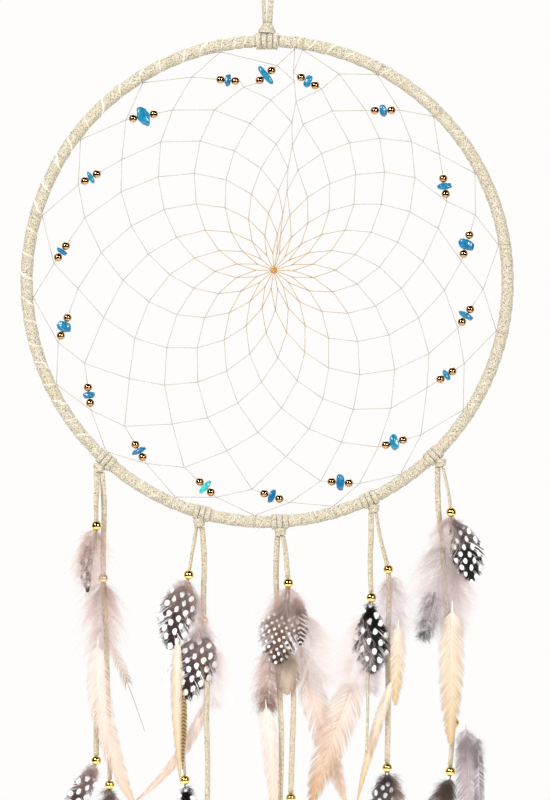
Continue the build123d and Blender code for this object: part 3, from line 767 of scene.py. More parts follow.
# Feathers of each pendant, from its lashing knot. The first word of the CAD node gives the strand.
FEATHERS = {
    "outer_left": [
        Feather("fluff_upper", (-2.0, -4.6, -28.6), (-5.2, -4.6, -56.4), 16, Growth.DOWN, "rosy_down",
                "front_tuft", depth=0.45, density=1.2),
        Feather("speckled_tip", (-4.3, -3.4, -36.1), (-5.2, -3.4, -58.4), 6.0, Growth.VANE, "guinea_fine",
                "front_tuft", bow=1.2),
        Feather("fluff_lower", (1.3, 1.2, -53.5), (1.3, 1.2, -87.7), 20, Growth.DOWN, "rosy_down",
                "long_tuft", depth=0.4, density=1.2),
        Feather("pale_plume", (-0.6, -1.7, -80.7), (16.8, -1.7, -158.5), 11, Growth.PLUME, "peach",
                "long_feathers", bow=5.5),
        Feather("bare_quill", (5.5, 4.8, -83.0), (21.7, 4.8, -125.5), 5, Growth.STRIPPED, "bare",
                "long_feathers", bow=-0.6),
        Feather("tail_dotted", (-1.5, 1.2, -139.3), (-18.4, 1.2, -169.3), 10, Growth.VANE, "guinea_brown",
                "tail_feathers"),
        Feather("tail_rosy", (4.6, 1.2, -150.5), (2.3, 1.2, -191.4), 11, Growth.VANE, "rosy_vane",
                "tail_feathers"),
    ],
    "inner_left": [
        Feather("dotted_upper", (-4.8, -4.6, -26.2), (-13.7, -4.6, -59.5), 17, Growth.VANE, "guinea_brown",
                "front_tuft", bow=1.0),
        Feather("lilac_fluff", (-3.8, -3.4, -32.3), (1.8, -3.4, -54.8), 10, Growth.DOWN, "mauve_down",
                "front_tuft", depth=0.3),
        Feather("cream_hackle", (-9.9, -4.6, -53.0), (-8.5, -4.6, -122.8), 5.5, Growth.HACKLE, "cream",
                "front_hackle", bow=1.2),
        Feather("dotted_lower", (2.3, 0.2, -48.3), (-8.1, 0.2, -84.8), 20, Growth.VANE, "guinea_brown",
                "long_tuft", bow=-0.6),
        Feather("pink_fluff", (6.5, 2.7, -57.2), (6.9, 2.7, -88.6), 15, Growth.DOWN, "pale_down",
                "long_tuft", depth=0.4),
        Feather("barred_hackle", (-7.1, -1.7, -80.2), (-7.8, -1.7, -115.8), 3.4,
                Growth.HACKLE, "golden_barred",
                "long_feathers"),
        Feather("curved_plume", (4.6, 4.4, -81.1), (-32.4, 4.4, -132.7), 5.5, Growth.HACKLE, "peach",
                "long_feathers", bow=-5.0),
        Feather("tail_small", (-6.7, 1.0, -123.3), (-1.5, 1.0, -158.0), 8, Growth.VANE, "guinea",
                "tail_feathers"),
        Feather("tail_brown", (3.6, 1.2, -151.4), (5.5, 1.2, -189.0), 12, Growth.VANE, "guinea_brown",
                "tail_feathers"),
    ],
    "middle": [
        Feather("mauve_fluff", (3.6, -4.6, -25.7), (1.8, -4.6, -43.1), 20, Growth.DOWN, "mauve_down",
                "front_tuft", depth=0.35),
        Feather("dotted_vane", (3.2, -5.6, -30.9), (-2.5, -5.6, -61.9), 20, Growth.VANE, "partridge",
                "front_tuft"),
        Feather("barred_vane", (6.9, -5.2, -30.0), (9.4, -5.2, -53.0), 8, Growth.VANE, "barred",
                "front_tuft", bow=-0.8),
        Feather("brown_fluff", (-3.9, 1.2, -54.3), (-6.7, 1.2, -85.3), 13, Growth.DOWN, "brown_down",
                "long_tuft", depth=0.5, density=1.2),
        Feather("smooth_vane", (3.6, -1.7, -54.3), (3.2, -1.7, -76.4), 11, Growth.VANE, "beige",
                "long_feathers", density=1.4, fullest=0.62),
        Feather("crossing_plume", (8.3, 4.8, -50.6), (30.8, 4.8, -127.5), 13, Growth.PLUME, "peach",
                "long_feathers", bow=0.8),
        Feather("thin_plume", (-6.7, -1.7, -80.6), (-1.5, -1.7, -136.0), 8, Growth.PLUME, "peach",
                "long_feathers"),
        Feather("pale_fluff", (10.7, 1.8, -38.9), (21.9, 1.8, -75.9), 18, Growth.DOWN, "pale_down",
                "long_tuft", depth=0.4),
        Feather("tail_right", (6.2, 1.2, -128.0), (11.5, 1.2, -163.2), 9, Growth.VANE, "rosy_vane",
                "tail_feathers"),
        Feather("tail_left", (-1.0, 1.2, -149.6), (-6.0, 1.2, -188.0), 9, Growth.VANE, "guinea_brown",
                "tail_feathers"),
    ],
    "inner_right": [
        Feather("dotted_drop", (-1.7, -4.6, -43.3), (-0.7, -4.6, -77.5), 17, Growth.VANE, "guinea",
                "front_tuft", density=1.3, fullest=0.6, fluff=0.3),
        Feather("tip_fluff", (-1.2, -3.4, -67.2), (-1.2, -3.4, -87.8), 10, Growth.DOWN, "mauve_pale",
                "front_tuft", depth=0.3),
        Feather("pale_fluff", (-4.5, -3.6, -49.4), (-12.9, -3.6, -87.8), 20, Growth.DOWN, "pale_down",
                "front_feathers", depth=0.3),
        Feather("crossing_plume", (-7.3, -3.6, -78.4), (-29.8, -3.6, -139.4), 16, Growth.PLUME, "peach_dark",
                "front_feathers", bow=1.0),
        Feather("mauve_fluff", (8.2, 1.2, -31.5), (10.5, 1.2, -62.5), 15, Growth.DOWN, "mauve_pale",
                "long_tuft", depth=0.45),
        Feather("combed_plume", (11.5, -1.7, -54.0), (10.1, -1.7, -92.5), 8, Growth.PLUME, "cream",
                "long_feathers"),
        Feather("long_hackle", (9.8, -1.7, -78.4), (-8.2, -1.7, -139.4), 5, Growth.HACKLE, "cream",
                "long_feathers", bow=1.2),
        Feather("tail_dotted", (5.6, 1.2, -124.4), (0.4, 1.2, -157.7), 11, Growth.VANE, "guinea_grey",
                "tail_feathers"),
        Feather("tail_rosy", (7.2, 3.0, -124.4), (13.0, 3.0, -155.8), 11, Growth.VANE, "rosy_vane",
                "tail_feathers"),
    ],
    "outer_right": [
        Feather("brown_fluff", (4.9, -4.6, -24.9), (2.6, -4.6, -39.0), 16, Growth.DOWN, "mauve_down",
                "front_tuft", depth=0.35),
        Feather("dotted_drop", (6.3, -5.6, -25.8), (14.3, -5.6, -55.8), 15, Growth.VANE, "guinea_fine",
                "front_tuft", bow=-1.6, density=1.3, fullest=0.58, fluff=0.3),
        Feather("pink_fluff", (3.1, 1.2, -36.1), (-4.4, 1.2, -78.4), 26, Growth.DOWN, "mauve_pale",
                "long_tuft", depth=0.3, density=1.2),
        Feather("pale_fluff", (5.9, 2.2, -43.6), (7.7, 2.2, -84.0), 18, Growth.DOWN, "pink_down",
                "long_tuft", depth=0.3),
        Feather("speckled_tip", (-3.5, 0.6, -60.3), (-8.0, 0.6, -84.0), 9, Growth.DOWN, "speckled",
                "long_tuft", depth=0.3),
        Feather("cream_plume", (5.4, -2.2, -67.1), (4.5, -2.2, -132.3), 12, Growth.PLUME, "cream",
                "long_feathers", density=1.2),
        Feather("tail_brown", (4.5, 1.2, -148.2), (-4.0, 1.2, -175.9), 13, Growth.VANE, "brown_vane",
                "tail_feathers"),
        Feather("tail_mauve", (12.0, 0.7, -124.8), (14.5, 0.7, -172.6), 12, Growth.VANE, "mauve_vane",
                "tail_feathers"),
        Feather("tail_edge", (17.6, 0.3, -129.0), (18.5, 0.3, -172.6), 5, Growth.VANE, "speckled",
                "tail_feathers"),
    ],
}

F, L = FRONT_Y, LONG_Y
# Laces of each pendant as (CAD node, control points, flat's angle at both ends), and its beads.
LACES = {
    "outer_left": [
        ("front_lace", [(-1.3, -0.4, -2.0), (-0.9, -2.4, -9), (-1.4, -4.0, -17),
                (-1.0, F, -27), (-2.2, -2.6, -38)], (20, 70)),
        ("long_lace_1", [(1.3, 0.2, -2.0), (2.6, 0.9, -17), (1.8, L, -36), (1.9, L, -55), (3.3, L, -75),
                         (3.7, L, -97), (4.6, L, -121), (4.9, L, -146.4)], (-10, 55)),
        ("long_lace_2", [(-1.6, L, -96), (-0.6, L, -110), (-1.7, L, -123), (-1.4, L, -134.9)], (60, 10)),
    ],
    "inner_left": [
        ("front_lace", [(-1.3, -0.4, -2.0), (-2.2, -2.6, -8.5), (-3.4, -4.2, -15),
                (-4.9, F, -24.5), (-7.4, -2.4, -35)], (62, 74)),
        ("long_lace_1", [(1.3, 0.2, -2.0), (2.7, 0.9, -16), (1.9, L, -32), (2.2, L, -50), (3.9, L, -70),
                         (3.3, L, -92), (4.3, L, -118), (3.4, L, -146.2)], (8, 30)),
        ("long_lace_2", [(-7.2, L, -82), (-8.4, L, -95), (-7.4, L, -107), (-6.7, L, -118.2)], (70, 82)),
    ],
    "middle": [
        ("front_lace", [(1.3, -0.4, -2.0), (2.6, -2.6, -8.5), (2.9, -4.2, -14.5),
                (3.9, F, -24), (3.2, -2.4, -34.5)], (45, 20)),
        ("long_lace_1", [(-1.3, 0.2, -2.0), (-2.3, 0.9, -17), (-1.4, L, -35), (-1.7, L, -54), (-0.2, L, -76),
                         (0.8, L, -99), (0.1, L, -124), (-0.6, L, -144)], (5, -40)),
        ("long_lace_2", [(5.6, L, -58), (6.6, L, -76), (5.6, L, -99), (5.0, L, -122.4)], (-30, 10)),
    ],
    "inner_right": [
        ("front_lace_1", [(-1.3, -0.4, -2.0), (-0.9, -2.4, -12), (-2.0, -4.2, -24),
                (-1.2, F, -39.0)], (15, 40)),
        ("front_lace_2", [(-1.4, -2.4, -62), (-3.0, -2.9, -77), (-2.6, F, -94), (-3.5, F, -114)], (35, 80)),
        ("long_lace", [(1.3, 0.2, -2.0), (2.9, 0.9, -14), (6.9, L, -27), (7.6, L, -44), (6.4, L, -64),
                       (7.2, L, -90), (6.4, L, -119.2)], (72, -25)),
    ],
    "outer_right": [
        ("front_lace", [(1.3, -0.4, -2.6), (2.3, -2.2, -7.6), (3.6, -3.8, -13.6),
                (4.9, F, -23), (4.5, -2.4, -33.5)], (70, 60)),
        ("long_lace", [(-1.3, 0.2, -2.0), (-1.6, 0.9, -17), (0.9, L, -38), (2.6, L, -62), (4.9, L, -91),
                       (6.7, L, -119), (4.6, L, -142.4)], (5, 40)),
    ],
}
BEADS = {
    "outer_left": {"front_beads": [(-1.0, F, -26.9)],
                   "long_beads": [(1.8, L, -51.8), (-1.4, L, -137.3), (4.9, L, -148.8)]},
    "inner_left": {"front_beads": [(-4.8, F, -24.1)],
                   "long_beads": [(2.0, L, -45.9), (-6.7, L, -120.6), (3.4, L, -148.6)]},
    "middle": {"front_beads": [(3.8, F, -23.7)], "long_beads": [(5.0, L, -124.8), (-0.6, L, -146.4)]},
    "inner_right": {"front_beads": [(-1.2, F, -41.4)], "long_beads": [(6.9, L, -28.5), (6.4, L, -121.6)]},
    "outer_right": {"front_beads": [(4.8, F, -23.0)], "long_beads": [(6.5, L, -122.0), (4.6, L, -144.8)]},
}
# Where each lashing goes round the hoop, in degrees from +X.
DIRECTIONS = {"outer_left": -132.0, "inner_left": -105.7, "middle": -87.0, "inner_right": -64.9,
              "outer_right": -46.3}
HANGING_LOOP = [(-1.2, 0.0, -44.6), (-1.7, 0.4, -32.9), (-2.6, -0.2, -19.9), (-3.5, 0.0, -9.0),
                (-3.5, 0.0, 1.0), (3.5, 0.0, 1.0), (3.5, 0.0, -9.6), (2.9, 0.3, -21.9),
                (1.6, -0.3, -33.9), (1.2, 0.0, -44.6)]


# ------------------------------------------------------------------ hoop
@dataclass(frozen=True)
class HoopWrap:
    """Suede lace wound round the steel ring, each turn lapping the one before it."""

    around: int = 1600
    section: int = 30
    wide_pitch: float = 11.5    # between turns at the left, mm
    tight_pitch: float = 6.0    # at the right and the bottom
    lap: float = 0.34           # height of a turn's free edge

    def build(self, material: bpy.types.Material) -> bpy.types.Object:
        """Build the wound hoop as one closed mesh."""
        turned = np.linspace(0, FULL_TURN, self.around, endpoint=False)
        leftness = 0.5 - 0.5 * np.cos(turned - math.radians(-40))
        beside_hitch = np.exp(-((turned - math.radians(92)) / math.radians(11)) ** 2)
        pitch = self.tight_pitch + (self.wide_pitch - self.tight_pitch) * leftness
        pitch = pitch * (1 - 0.62 * beside_hitch)
        turns = np.concatenate([[0], np.cumsum(FULL_TURN * RING_RADIUS / self.around / pitch)])
        turns = turns[:-1] * round(turns[-1]) / turns[-1]
        spin = np.linspace(0, FULL_TURN, self.section, endpoint=False)
        rng = np.random.default_rng(5)
        wobble = sum(a * np.sin(k * turned + rng.uniform(0, FULL_TURN))
                     for k, a in ((37, 0.06), (71, 0.05), (113, 0.05)))
        share = (turns[:, None] + wobble[:, None] - spin[None, :] / FULL_TURN) % 1.0
        lapped = np.where(share < 0.05, share / 0.05, (1 - share) ** 0.8)
        radius = WRAP_RADIUS - 0.2 + self.lap * lapped
        radius = radius + 0.05 * np.sin(turned * 53)[:, None] * np.sin(3 * spin)[None, :]
        out = RING_RADIUS + radius * np.cos(spin)[None, :]
        places = np.stack([out * np.cos(turned)[:, None], FRONT * radius * np.sin(spin)[None, :],
                           HOOP_Z + out * np.sin(turned)[:, None]], 2).reshape(-1, 3) * MM
        index = np.arange(self.around * self.section).reshape(self.around, self.section)
        ahead, up = np.roll(index, -1, 0), np.roll(index, -1, 1)
        faces = np.stack([index, ahead, np.roll(ahead, -1, 1), up], 2).reshape(-1, 4).tolist()
        thing = mesh_object("suede_wrap", places, faces, material)
        # Pale lap edges, strongest at the upper left and beside the hitch and absent at the lower right:
        # painted highlight where the light catches the laps, over the lace's own pale cut edge.
        lap_highlight_share = np.maximum(0.85 * leftness, 0.6 * beside_hitch)[:, None]
        edge = np.clip(1 - np.abs(share - 0.065) / 0.045, 0, 1) * lap_highlight_share
        point_values(thing, "edge", edge)
        return thing


def band(radius: float, width: float, thick: float, place: Vector, axis: Vector,
         squeeze: float = 1.0, steps: int = 40) -> tuple[np.ndarray, tuple]:
    """One closed turn of lace round an axis.

    Args:
        radius: inner radius, mm.
        width: along the axis, mm.
        thick: outwards, mm.
        place: middle of the turn, mm.
        axis: direction that it turns round.
        squeeze: depth as a share of its breadth.
        steps: corners round the turn.

    Returns:
        Vertex places in metres and faces.
    """
    mesh = bmesh.new()
    bmesh.ops.create_circle(mesh, cap_ends=False, radius=1.0, segments=12)
    for vert in mesh.verts:
        x, y = vert.co.x, vert.co.y
        boxed = 0.3 + 0.7 * max(abs(x), abs(y)) / math.hypot(x, y)
        vert.co = Vector((radius + thick / 2 * (1 + y / boxed), 0, width / 2 * x / boxed))
    bmesh.ops.spin(mesh, geom=mesh.verts[:] + mesh.edges[:], cent=(0, 0, 0), axis=(0, 0, 1),
                   angle=FULL_TURN, steps=steps, use_merge=True)
    turn = Vector((0, 0, 1)).rotation_difference(axis).to_matrix().to_4x4()
    bmesh.ops.scale(mesh, vec=(1, squeeze, 1), verts=mesh.verts)
    bmesh.ops.transform(mesh, matrix=Matrix.Scale(MM, 4) @ Matrix.Translation(place) @ turn, verts=mesh.verts)
    bmesh.ops.recalc_face_normals(mesh, faces=mesh.faces[:])
    return taken(mesh)


def hoop_turns(direction: float, count: int, bore: float, gap: float, thick: float) -> list:
    """Turns of lace side by side round the hoop's section, at a direction in degrees."""
    turns = []
    for number in range(count):
        away = math.radians(direction) + (number - (count - 1) / 2) * gap / RING_RADIUS
        place = Vector((RING_RADIUS * math.cos(away), 0, HOOP_Z + RING_RADIUS * math.sin(away)))
        lean = 0.05 * (number - 1)
        axis = Vector((-math.sin(away), lean, math.cos(away))).normalized()
        turns.append(band(bore, gap - 0.08, thick, place, axis))
    return turns


def knot_turn(bore: float, width: float, place: Vector, tilt: float) -> tuple[np.ndarray, tuple]:
    """Flattened turn of lace in a knot, tilted sideways."""
    return band(bore, width, LACE_TURN_THICK, place, Vector((tilt, 0.05, 1)).normalized(), 0.8)


# ------------------------------------------------------------------ web
# Where the thread is hitched over the hoop, in degrees from +X.
ANCHORS = [81.3, 62.0, 44.8, 27.5, 8.9, -12.1, -33.2, -55.3, -73.6, -93.1,
           -113.1, -133.4, -154.0, -176.1, -196.3, -217.2, -238.0, -258.5, -276.8]
WEB_ROUNDS = 11
WEB_RADIUS = 109.9              # where the thread leaves the wound hoop
WEB_TWIST = 0.535               # share of a cell that each round steps on round the hoop
WEB_LEAN = 7.8                  # sets how far the middle rounds lie towards +X, mm
BULGE_ACROSS = (0.125, -0.274)  # how the rounds bulge: once and twice the share inward
BULGE_UP = (0.334, -0.569)
CENTRE_ACROSS, CENTRE_UP = 3.1, 5.3     # the centre knot, from the hoop's centre
CHIP_GAP = 0.25
TRIO_END = 0.2                  # the thread stays straight this far past a trio's beads
TRIO_KNOT_GAP = 1.5             # from a trio's beads to the knots beside it, at least
# Chips between two beads: columns of the outer and inner knot, the middle across and up from the
# hoop's centre, the thread's direction in degrees, the chip's width on the thread and its length.
TRIOS = [
    (1, 0, 54.4, 80.3, -179, 3.3, 5.5), (2, 2, 83.2, 44.7, -81, 2.9, 6.6),
    (3, 3, 93.5, 17.4, -107, 4.8, 7.6), (4, 4, 93.3, -16.0, -123, 2.6, 7.1),
    (5, 5, 84.1, -44.0, -147, 2.2, 5.8), (6, 6, 59.7, -75.5, -164, 3.9, 7.4),
    (7, 7, 34.3, -94.2, 176, 3.6, 7.4), (8, 8, 2.2, -100.7, 161, 3.0, 6.6),
    (9, 9, -29.0, -96.4, 137, 2.6, 7.3), (10, 10, -60.1, -79.4, 120, 2.3, 6.7),
    (11, 11, -83.5, -53.3, 98, 2.9, 5.8), (12, 12, -95.2, -21.2, 70, 4.5, 6.8),
    (13, 13, -96.2, 14.0, 56, 2.0, 5.5), (14, 14, -82.7, 48.8, 30, 2.0, 6.4),
    (15, 15, -58.0, 77.5, 12, 5.4, 8.9), (16, 16, -18.4, 94.4, -5, 2.5, 6.0),
    (17, 16, -0.7, 96.7, -140, 2.7, 10.7), (18, 18, 19.2, 93.9, -30, 3.1, 6.2),
]
GREEN_CHIP = 8                  # the one chip of a greener stone
WEB_BEAD = 4.0
CENTRE_KNOT = (CENTRE_ACROSS, 0.0, HOOP_Z + CENTRE_UP)


def even_point(turn: int, column: int) -> Vector:
    """Place of one web knot before its beads pull it, in millimetres: turn 0 is on the hoop."""
    inward = turn / WEB_ROUNDS
    step = column + turn * WEB_TWIST
    whole = math.floor(step)
    laps, index = divmod(whole, len(ANCHORS))
    here = ANCHORS[index] - 360 * laps
    laps, index = divmod(whole + 1, len(ANCHORS))
    beyond = ANCHORS[index] - 360 * laps
    turned = math.radians(here + (beyond - here) * (step - whole))
    even = WEB_RADIUS * (1 - inward)
    wide = even * (1 + BULGE_ACROSS[0] * inward + BULGE_ACROSS[1] * inward ** 2)
    tall = even * (1 + BULGE_UP[0] * inward + BULGE_UP[1] * inward ** 2)
    lean = WEB_LEAN * inward * (1 - inward)
    return Vector((CENTRE_ACROSS * inward + lean + wide * math.cos(turned), 0,
                   HOOP_Z + CENTRE_UP * inward + tall * math.sin(turned)))


def trio_line(trio: tuple) -> tuple[Vector, Vector, float]:
    """Middle, direction and half length of a trio."""
    lean = math.radians(trio[4])
    return Vector((trio[2], 0, HOOP_Z + trio[3])), Vector((math.cos(lean), 0, math.sin(lean))), \
        trio[5] / 2 + CHIP_GAP + WEB_BEAD


@lru_cache(maxsize=None)
def pulled_knots() -> dict:
    """Knots at the ends of the trios' threads, moved onto those threads, by turn and column."""
    claims = {}
    for trio in TRIOS:
        middle, along, half = trio_line(trio)
        for turn, column, way in ((1, trio[0], -1), (2, trio[1], 1)):
            reach = (even_point(turn, column) - middle).dot(along) * way
            place = middle + along * way * max(reach, half + TRIO_KNOT_GAP)
            claims.setdefault((turn, column), []).append(place)
    return {knot: sum(places, Vector()) / len(places) for knot, places in claims.items()}


def web_point(turn: int, column: int) -> Vector:
    """Place of one web knot, in millimetres."""
    return pulled_knots().get((turn, column % len(ANCHORS))) or even_point(turn, column)


def placed_copy(template: tuple, place: Vector, axis: Vector,
                size: tuple[float, float, float]) -> tuple[np.ndarray, tuple]:
    """Copy a template mesh to a place in millimetres, with its z along the axis.

    Args:
        template: vertex places and faces.
        place: where the copy's origin goes.
        axis: direction of the copy's z.
        size: scale along the template's own axes, mm.

    Returns:
        Vertex places in metres and faces.
    """
    places, faces = template
    turn = np.array(Vector((0, 0, 1)).rotation_difference(axis).to_matrix())
    return ((places * np.array(size)) @ turn.T + np.array(place)) * MM, faces


@lru_cache(maxsize=None)
def ball(detail: int) -> tuple[np.ndarray, tuple]:
    """Unit icosphere."""
    mesh = bmesh.new()
    bmesh.ops.create_icosphere(mesh, subdivisions=detail, radius=1.0)
    return taken(mesh)


@lru_cache(maxsize=None)
def bead(bore_share: float) -> tuple[np.ndarray, tuple]:
    """Round bead of unit radius, drilled along z, with its bore as a share of its radius."""
    mesh = bmesh.new()
    start = math.asin(bore_share)
    rim = [(math.sin(a), math.cos(a)) for a in np.linspace(start, math.pi - start, 17)]
    profile = rim + [(bore_share * 0.98, rim[-1][1] + 0.06), (bore_share * 0.98, rim[0][1] - 0.06)]
    verts = [mesh.verts.new((x, 0, z)) for x, z in profile]
    edges = [mesh.edges.new((a, b)) for a, b in zip(verts, verts[1:] + verts[:1])]
    bmesh.ops.spin(mesh, geom=verts + edges, cent=(0, 0, 0), axis=(0, 0, 1), angle=FULL_TURN, steps=32,
                   use_merge=True)
    bmesh.ops.recalc_face_normals(mesh, faces=mesh.faces[:])
    return taken(mesh)


@dataclass(frozen=True)
class Web:
    """Thread hitched to itself round by round, with a chip between two beads on most outer stretches."""

    thread: float = 0.38        # thickness of the waxed thread, mm
    knot: float = 0.72          # thickness of each hitch
    centre_turns: int = 26      # of thread round the centre knot

    def stretches(self) -> list[tuple[Vector, Vector]]:
        """Ends of every stretch of thread."""
        threaded = {(1, trio[0], trio[1]): trio for trio in TRIOS}
        found = []
        for turn in range(WEB_ROUNDS):
            for column in range(len(ANCHORS)):
                inner = web_point(turn + 1, column)
                for outer in (column, column + 1) if turn < WEB_ROUNDS - 1 else (column,):
                    route = [web_point(turn, outer), inner]
                    trio = threaded.get((turn, outer % len(ANCHORS), column))
                    if trio:
                        middle, along, half = trio_line(trio)
                        route[1:1] = [middle - along * (half + TRIO_END), middle + along * (half + TRIO_END)]
                    found += list(zip(route, route[1:]))
        return found

    def build_thread(self, material: bpy.types.Material) -> bpy.types.Object:
        """Build stretches, knots, hitches over the hoop and the centre knot as one mesh."""
        rng = np.random.default_rng(11)
        parts = []
        for start, end in self.stretches():
            along = end - start
            parts.append(placed_copy(prism(6, 2), start, along.normalized(),
                                     (self.thread / 2, self.thread / 2, along.length)))
        for turn in range(1, WEB_ROUNDS):
            for column in range(len(ANCHORS)):
                here = web_point(turn, column)
                lean = Vector((rng.normal(), rng.normal() * 0.4, rng.normal())).normalized()
                parts.append(placed_copy(ball(2), here, lean,
                                         (self.knot / 2, self.knot / 2, self.knot * 0.62)))
        for column, angle in enumerate(ANCHORS):
            away = math.radians(angle)
            place = Vector((RING_RADIUS * math.cos(away), 0, HOOP_Z + RING_RADIUS * math.sin(away)))
            axis = Vector((-math.sin(away), rng.uniform(-0.2, 0.2), math.cos(away))).normalized()
            parts.append(band(WRAP_RADIUS + 0.02, self.thread, self.thread * 0.8, place, axis, steps=28))
        for _ in range(self.centre_turns):
            lean = Vector(rng.normal(size=3)).normalized()
            parts.append(band(0.85 + 0.35 * rng.random(), self.thread, self.thread, Vector(CENTRE_KNOT), lean,
                              steps=16))
        parts.append(placed_copy(ball(3), Vector(CENTRE_KNOT), Vector((0, 0, 1)), (1.1, 1.0, 1.1)))
        places, faces = joined(parts)
        return mesh_object("web_threads", places, faces, material)

    def build_beads(self, material: bpy.types.Material) -> bpy.types.Object:
        """Build the metal beads beside the chips."""
        parts = [placed_copy(bead(0.17), middle + along * (half - WEB_BEAD / 2) * side, along,
                             (WEB_BEAD / 2,) * 3)
                 for middle, along, half in map(trio_line, TRIOS) for side in (-1, 1)]
        places, faces = joined(parts)
        return mesh_object("gold_web_beads", places, faces, material)

    def build_chips(self, material: bpy.types.Material) -> bpy.types.Object:
        """Build the tumbled chips, each with its own shape and tint."""
        rng = np.random.default_rng(23)
        sphere, faces = ball(4)
        places, rows, tones, base = [], [], [], 0
        for number, trio in enumerate(TRIOS):
            middle, along, _ = trio_line(trio)
            across = along.cross(Vector((0, 1, 0)))
            frame = np.array((across, (0, 1, 0), along))
            size = np.array((trio[6] / 2, 1.75, trio[5] / 2 + 0.15))
            shift = Vector(rng.uniform(-50, 50, 3))
            lumps = np.array([noise.noise(Vector(p) * 1.3 + shift)
                              + 0.45 * noise.noise(Vector(p) * 3.1 + shift) for p in sphere])
            boxed = np.sign(sphere) * np.abs(sphere) ** 0.82
            shaped = boxed * (1 + 0.16 * lumps)[:, None]
            shaped[:, 0] += 0.08 * shaped[:, 2] * rng.normal()
            shaped = shaped * size
            places.append((shaped @ frame + np.array(middle)) * MM)
            rows += [tuple(i + base for i in face) for face in faces]
            base += len(sphere)
            tones.append(np.full(len(sphere), 0.9 if number == GREEN_CHIP else rng.uniform(0, 0.2)))
        thing = mesh_object("turquoise_stones", np.concatenate(places), rows, material)
        point_values(thing, "tone", np.concatenate(tones))
        return thing


# ------------------------------------------------------------------ pendants
def lace(name: str, node: str, body: str, points: list, turns: tuple[float, float],
         material: bpy.types.Material, taper: float = 1.0) -> bpy.types.Object:
    """Args:
        name: the piece's name.
        node: CAD node that it stands for.
        body: body that it rides on.
        points: route's control points, in metres.
        turns: the flat's angle at both ends, degrees.
        material: suede.
        taper: width at its far end as a share of its width.

    Returns:
        The lace's object.
    """
    line = smooth_line(points)
    places, faces = ribbon(line, LACE_WIDTH * MM, LACE_THICK * MM, turns, taper)
    thing = settle(mesh_object(name, places, faces, material), body, "suede", node)
    return thing


@dataclass
class Pendant:
    """Lashing, laces, beads and feathers that hang from one place on the hoop."""

    name: str
    knot: Vector                # lashing knot's centre, metres

    def place(self, point: tuple[float, float, float]) -> Vector:
        """Turn a place on the pendant, in millimetres, to the frame, in metres."""
        return self.knot + Vector(point) * MM

    def body(self, node: str) -> str:
        """Body that carries a node of this pendant."""
        return f"{self.name}_front" if node.startswith("front") else f"{self.name}_strand"

    def build_lashing(self, material: bpy.types.Material) -> None:
        """Build three turns round the hoop and the cross wrap under them."""
        parts = hoop_turns(DIRECTIONS[self.name], 3, WRAP_RADIUS, 2.55, 0.75)
        centre = self.knot / MM
        for bore, width, shift, tilt in ((2.0, 2.2, (0, 0, 1.0), 0.1), (1.8, 2.0, (0.1, 0, -0.7), -0.22)):
            parts.append(knot_turn(bore, width, centre + Vector(shift), tilt))
        parts.append(placed_copy(ball(3), centre, Vector((0, 0, 1)), (2.5, 1.9, 2.3)))
        places, faces = joined(parts)
        settle(mesh_object(f"{self.name}_lashed_lace", places, faces, material), "hoop", "suede",
               f"{self.name}_lashing")

    def build_laces(self, material: bpy.types.Material) -> None:
        """Build the pendant's flat laces."""
        for node, points, turns in LACES[self.name]:
            tapered = node == "front_lace_2"
            lace(f"{self.name}_{node}_strip", f"{self.name}_{node}", self.body(node),
                 [self.place(p) for p in points], turns, material,
                 0.45 if tapered else 1.0)

    def build_beads(self, material: bpy.types.Material) -> None:
        """Build the pendant's gold beads."""
        for node, places_of in BEADS[self.name].items():
            parts = [placed_copy(bead(0.3), self.knot / MM + Vector(p), Vector((0, 0, 1)), (2.4, 2.4, 2.4))
                     for p in places_of]
            places, faces = joined(parts)
            settle(mesh_object(f"{self.name}_{node}_gold", places, faces, material), self.body(node),
                   "metal_beads", f"{self.name}_{node}")

    def build_feathers(self, materials: dict[str, bpy.types.Material]) -> None:
        """Build the pendant's feathers and tufts."""
        for number, feather in enumerate(FEATHERS[self.name]):
            thing = feather.build(self.knot, materials, 100 * len(self.name) + 7 * number)
            thing.name = f"{self.name}_{feather.name}"
            shade = feather.finish
            slot = "guinea_feather" if "guinea" in shade or "barred" in shade or "partridge" in shade else \
                "pink_down" if "down" in shade or "pale" in shade else "cream_feather"
            settle(thing, self.body(feather.node), slot, f"{self.name}_{feather.node}")


def build_hanger(suede: bpy.types.Material) -> None:
    """Build the hitch round the hoop's top with its knot, and the loop that hangs on the nail."""
    parts = hoop_turns(90.0, 4, WRAP_RADIUS + 0.3, 2.6, 0.8)
    for height, bore, tilt in ((-45.7, 1.7, 0.12), (-47.2, 2.5, -0.15), (-48.5, 3.3, 0.08)):
        parts.append(knot_turn(bore, 1.9, Vector((0, 0, height)), tilt))
    parts.append(placed_copy(ball(3), Vector((0, 0, -46.9)), Vector((0, 0, 1)), (2.9, 2.1, 2.7)))
    places, faces = joined(parts)
    settle(mesh_object("hitched_lace", places, faces, suede), "hitch", "suede", "loop_hitch")
    lace("hanging_lace", "hanging_loop", "hanger", [Vector(p) * MM for p in HANGING_LOOP], (60, 10), suede)


# ------------------------------------------------------------------ staging
def light(name: str, place: tuple[float, float, float], aim: tuple[float, float, float], size: float,
          power: float) -> None:
    """Add a square softbox."""
    lamp = bpy.data.lights.new(name, "AREA")
    lamp.size = size
    lamp.energy = power
    thing = bpy.data.objects.new(name, lamp)
    thing.location = place
    thing.rotation_euler = (Vector(aim) - Vector(place)).to_track_quat("-Z", "Y").to_euler()
    bpy.context.scene.collection.objects.link(thing)


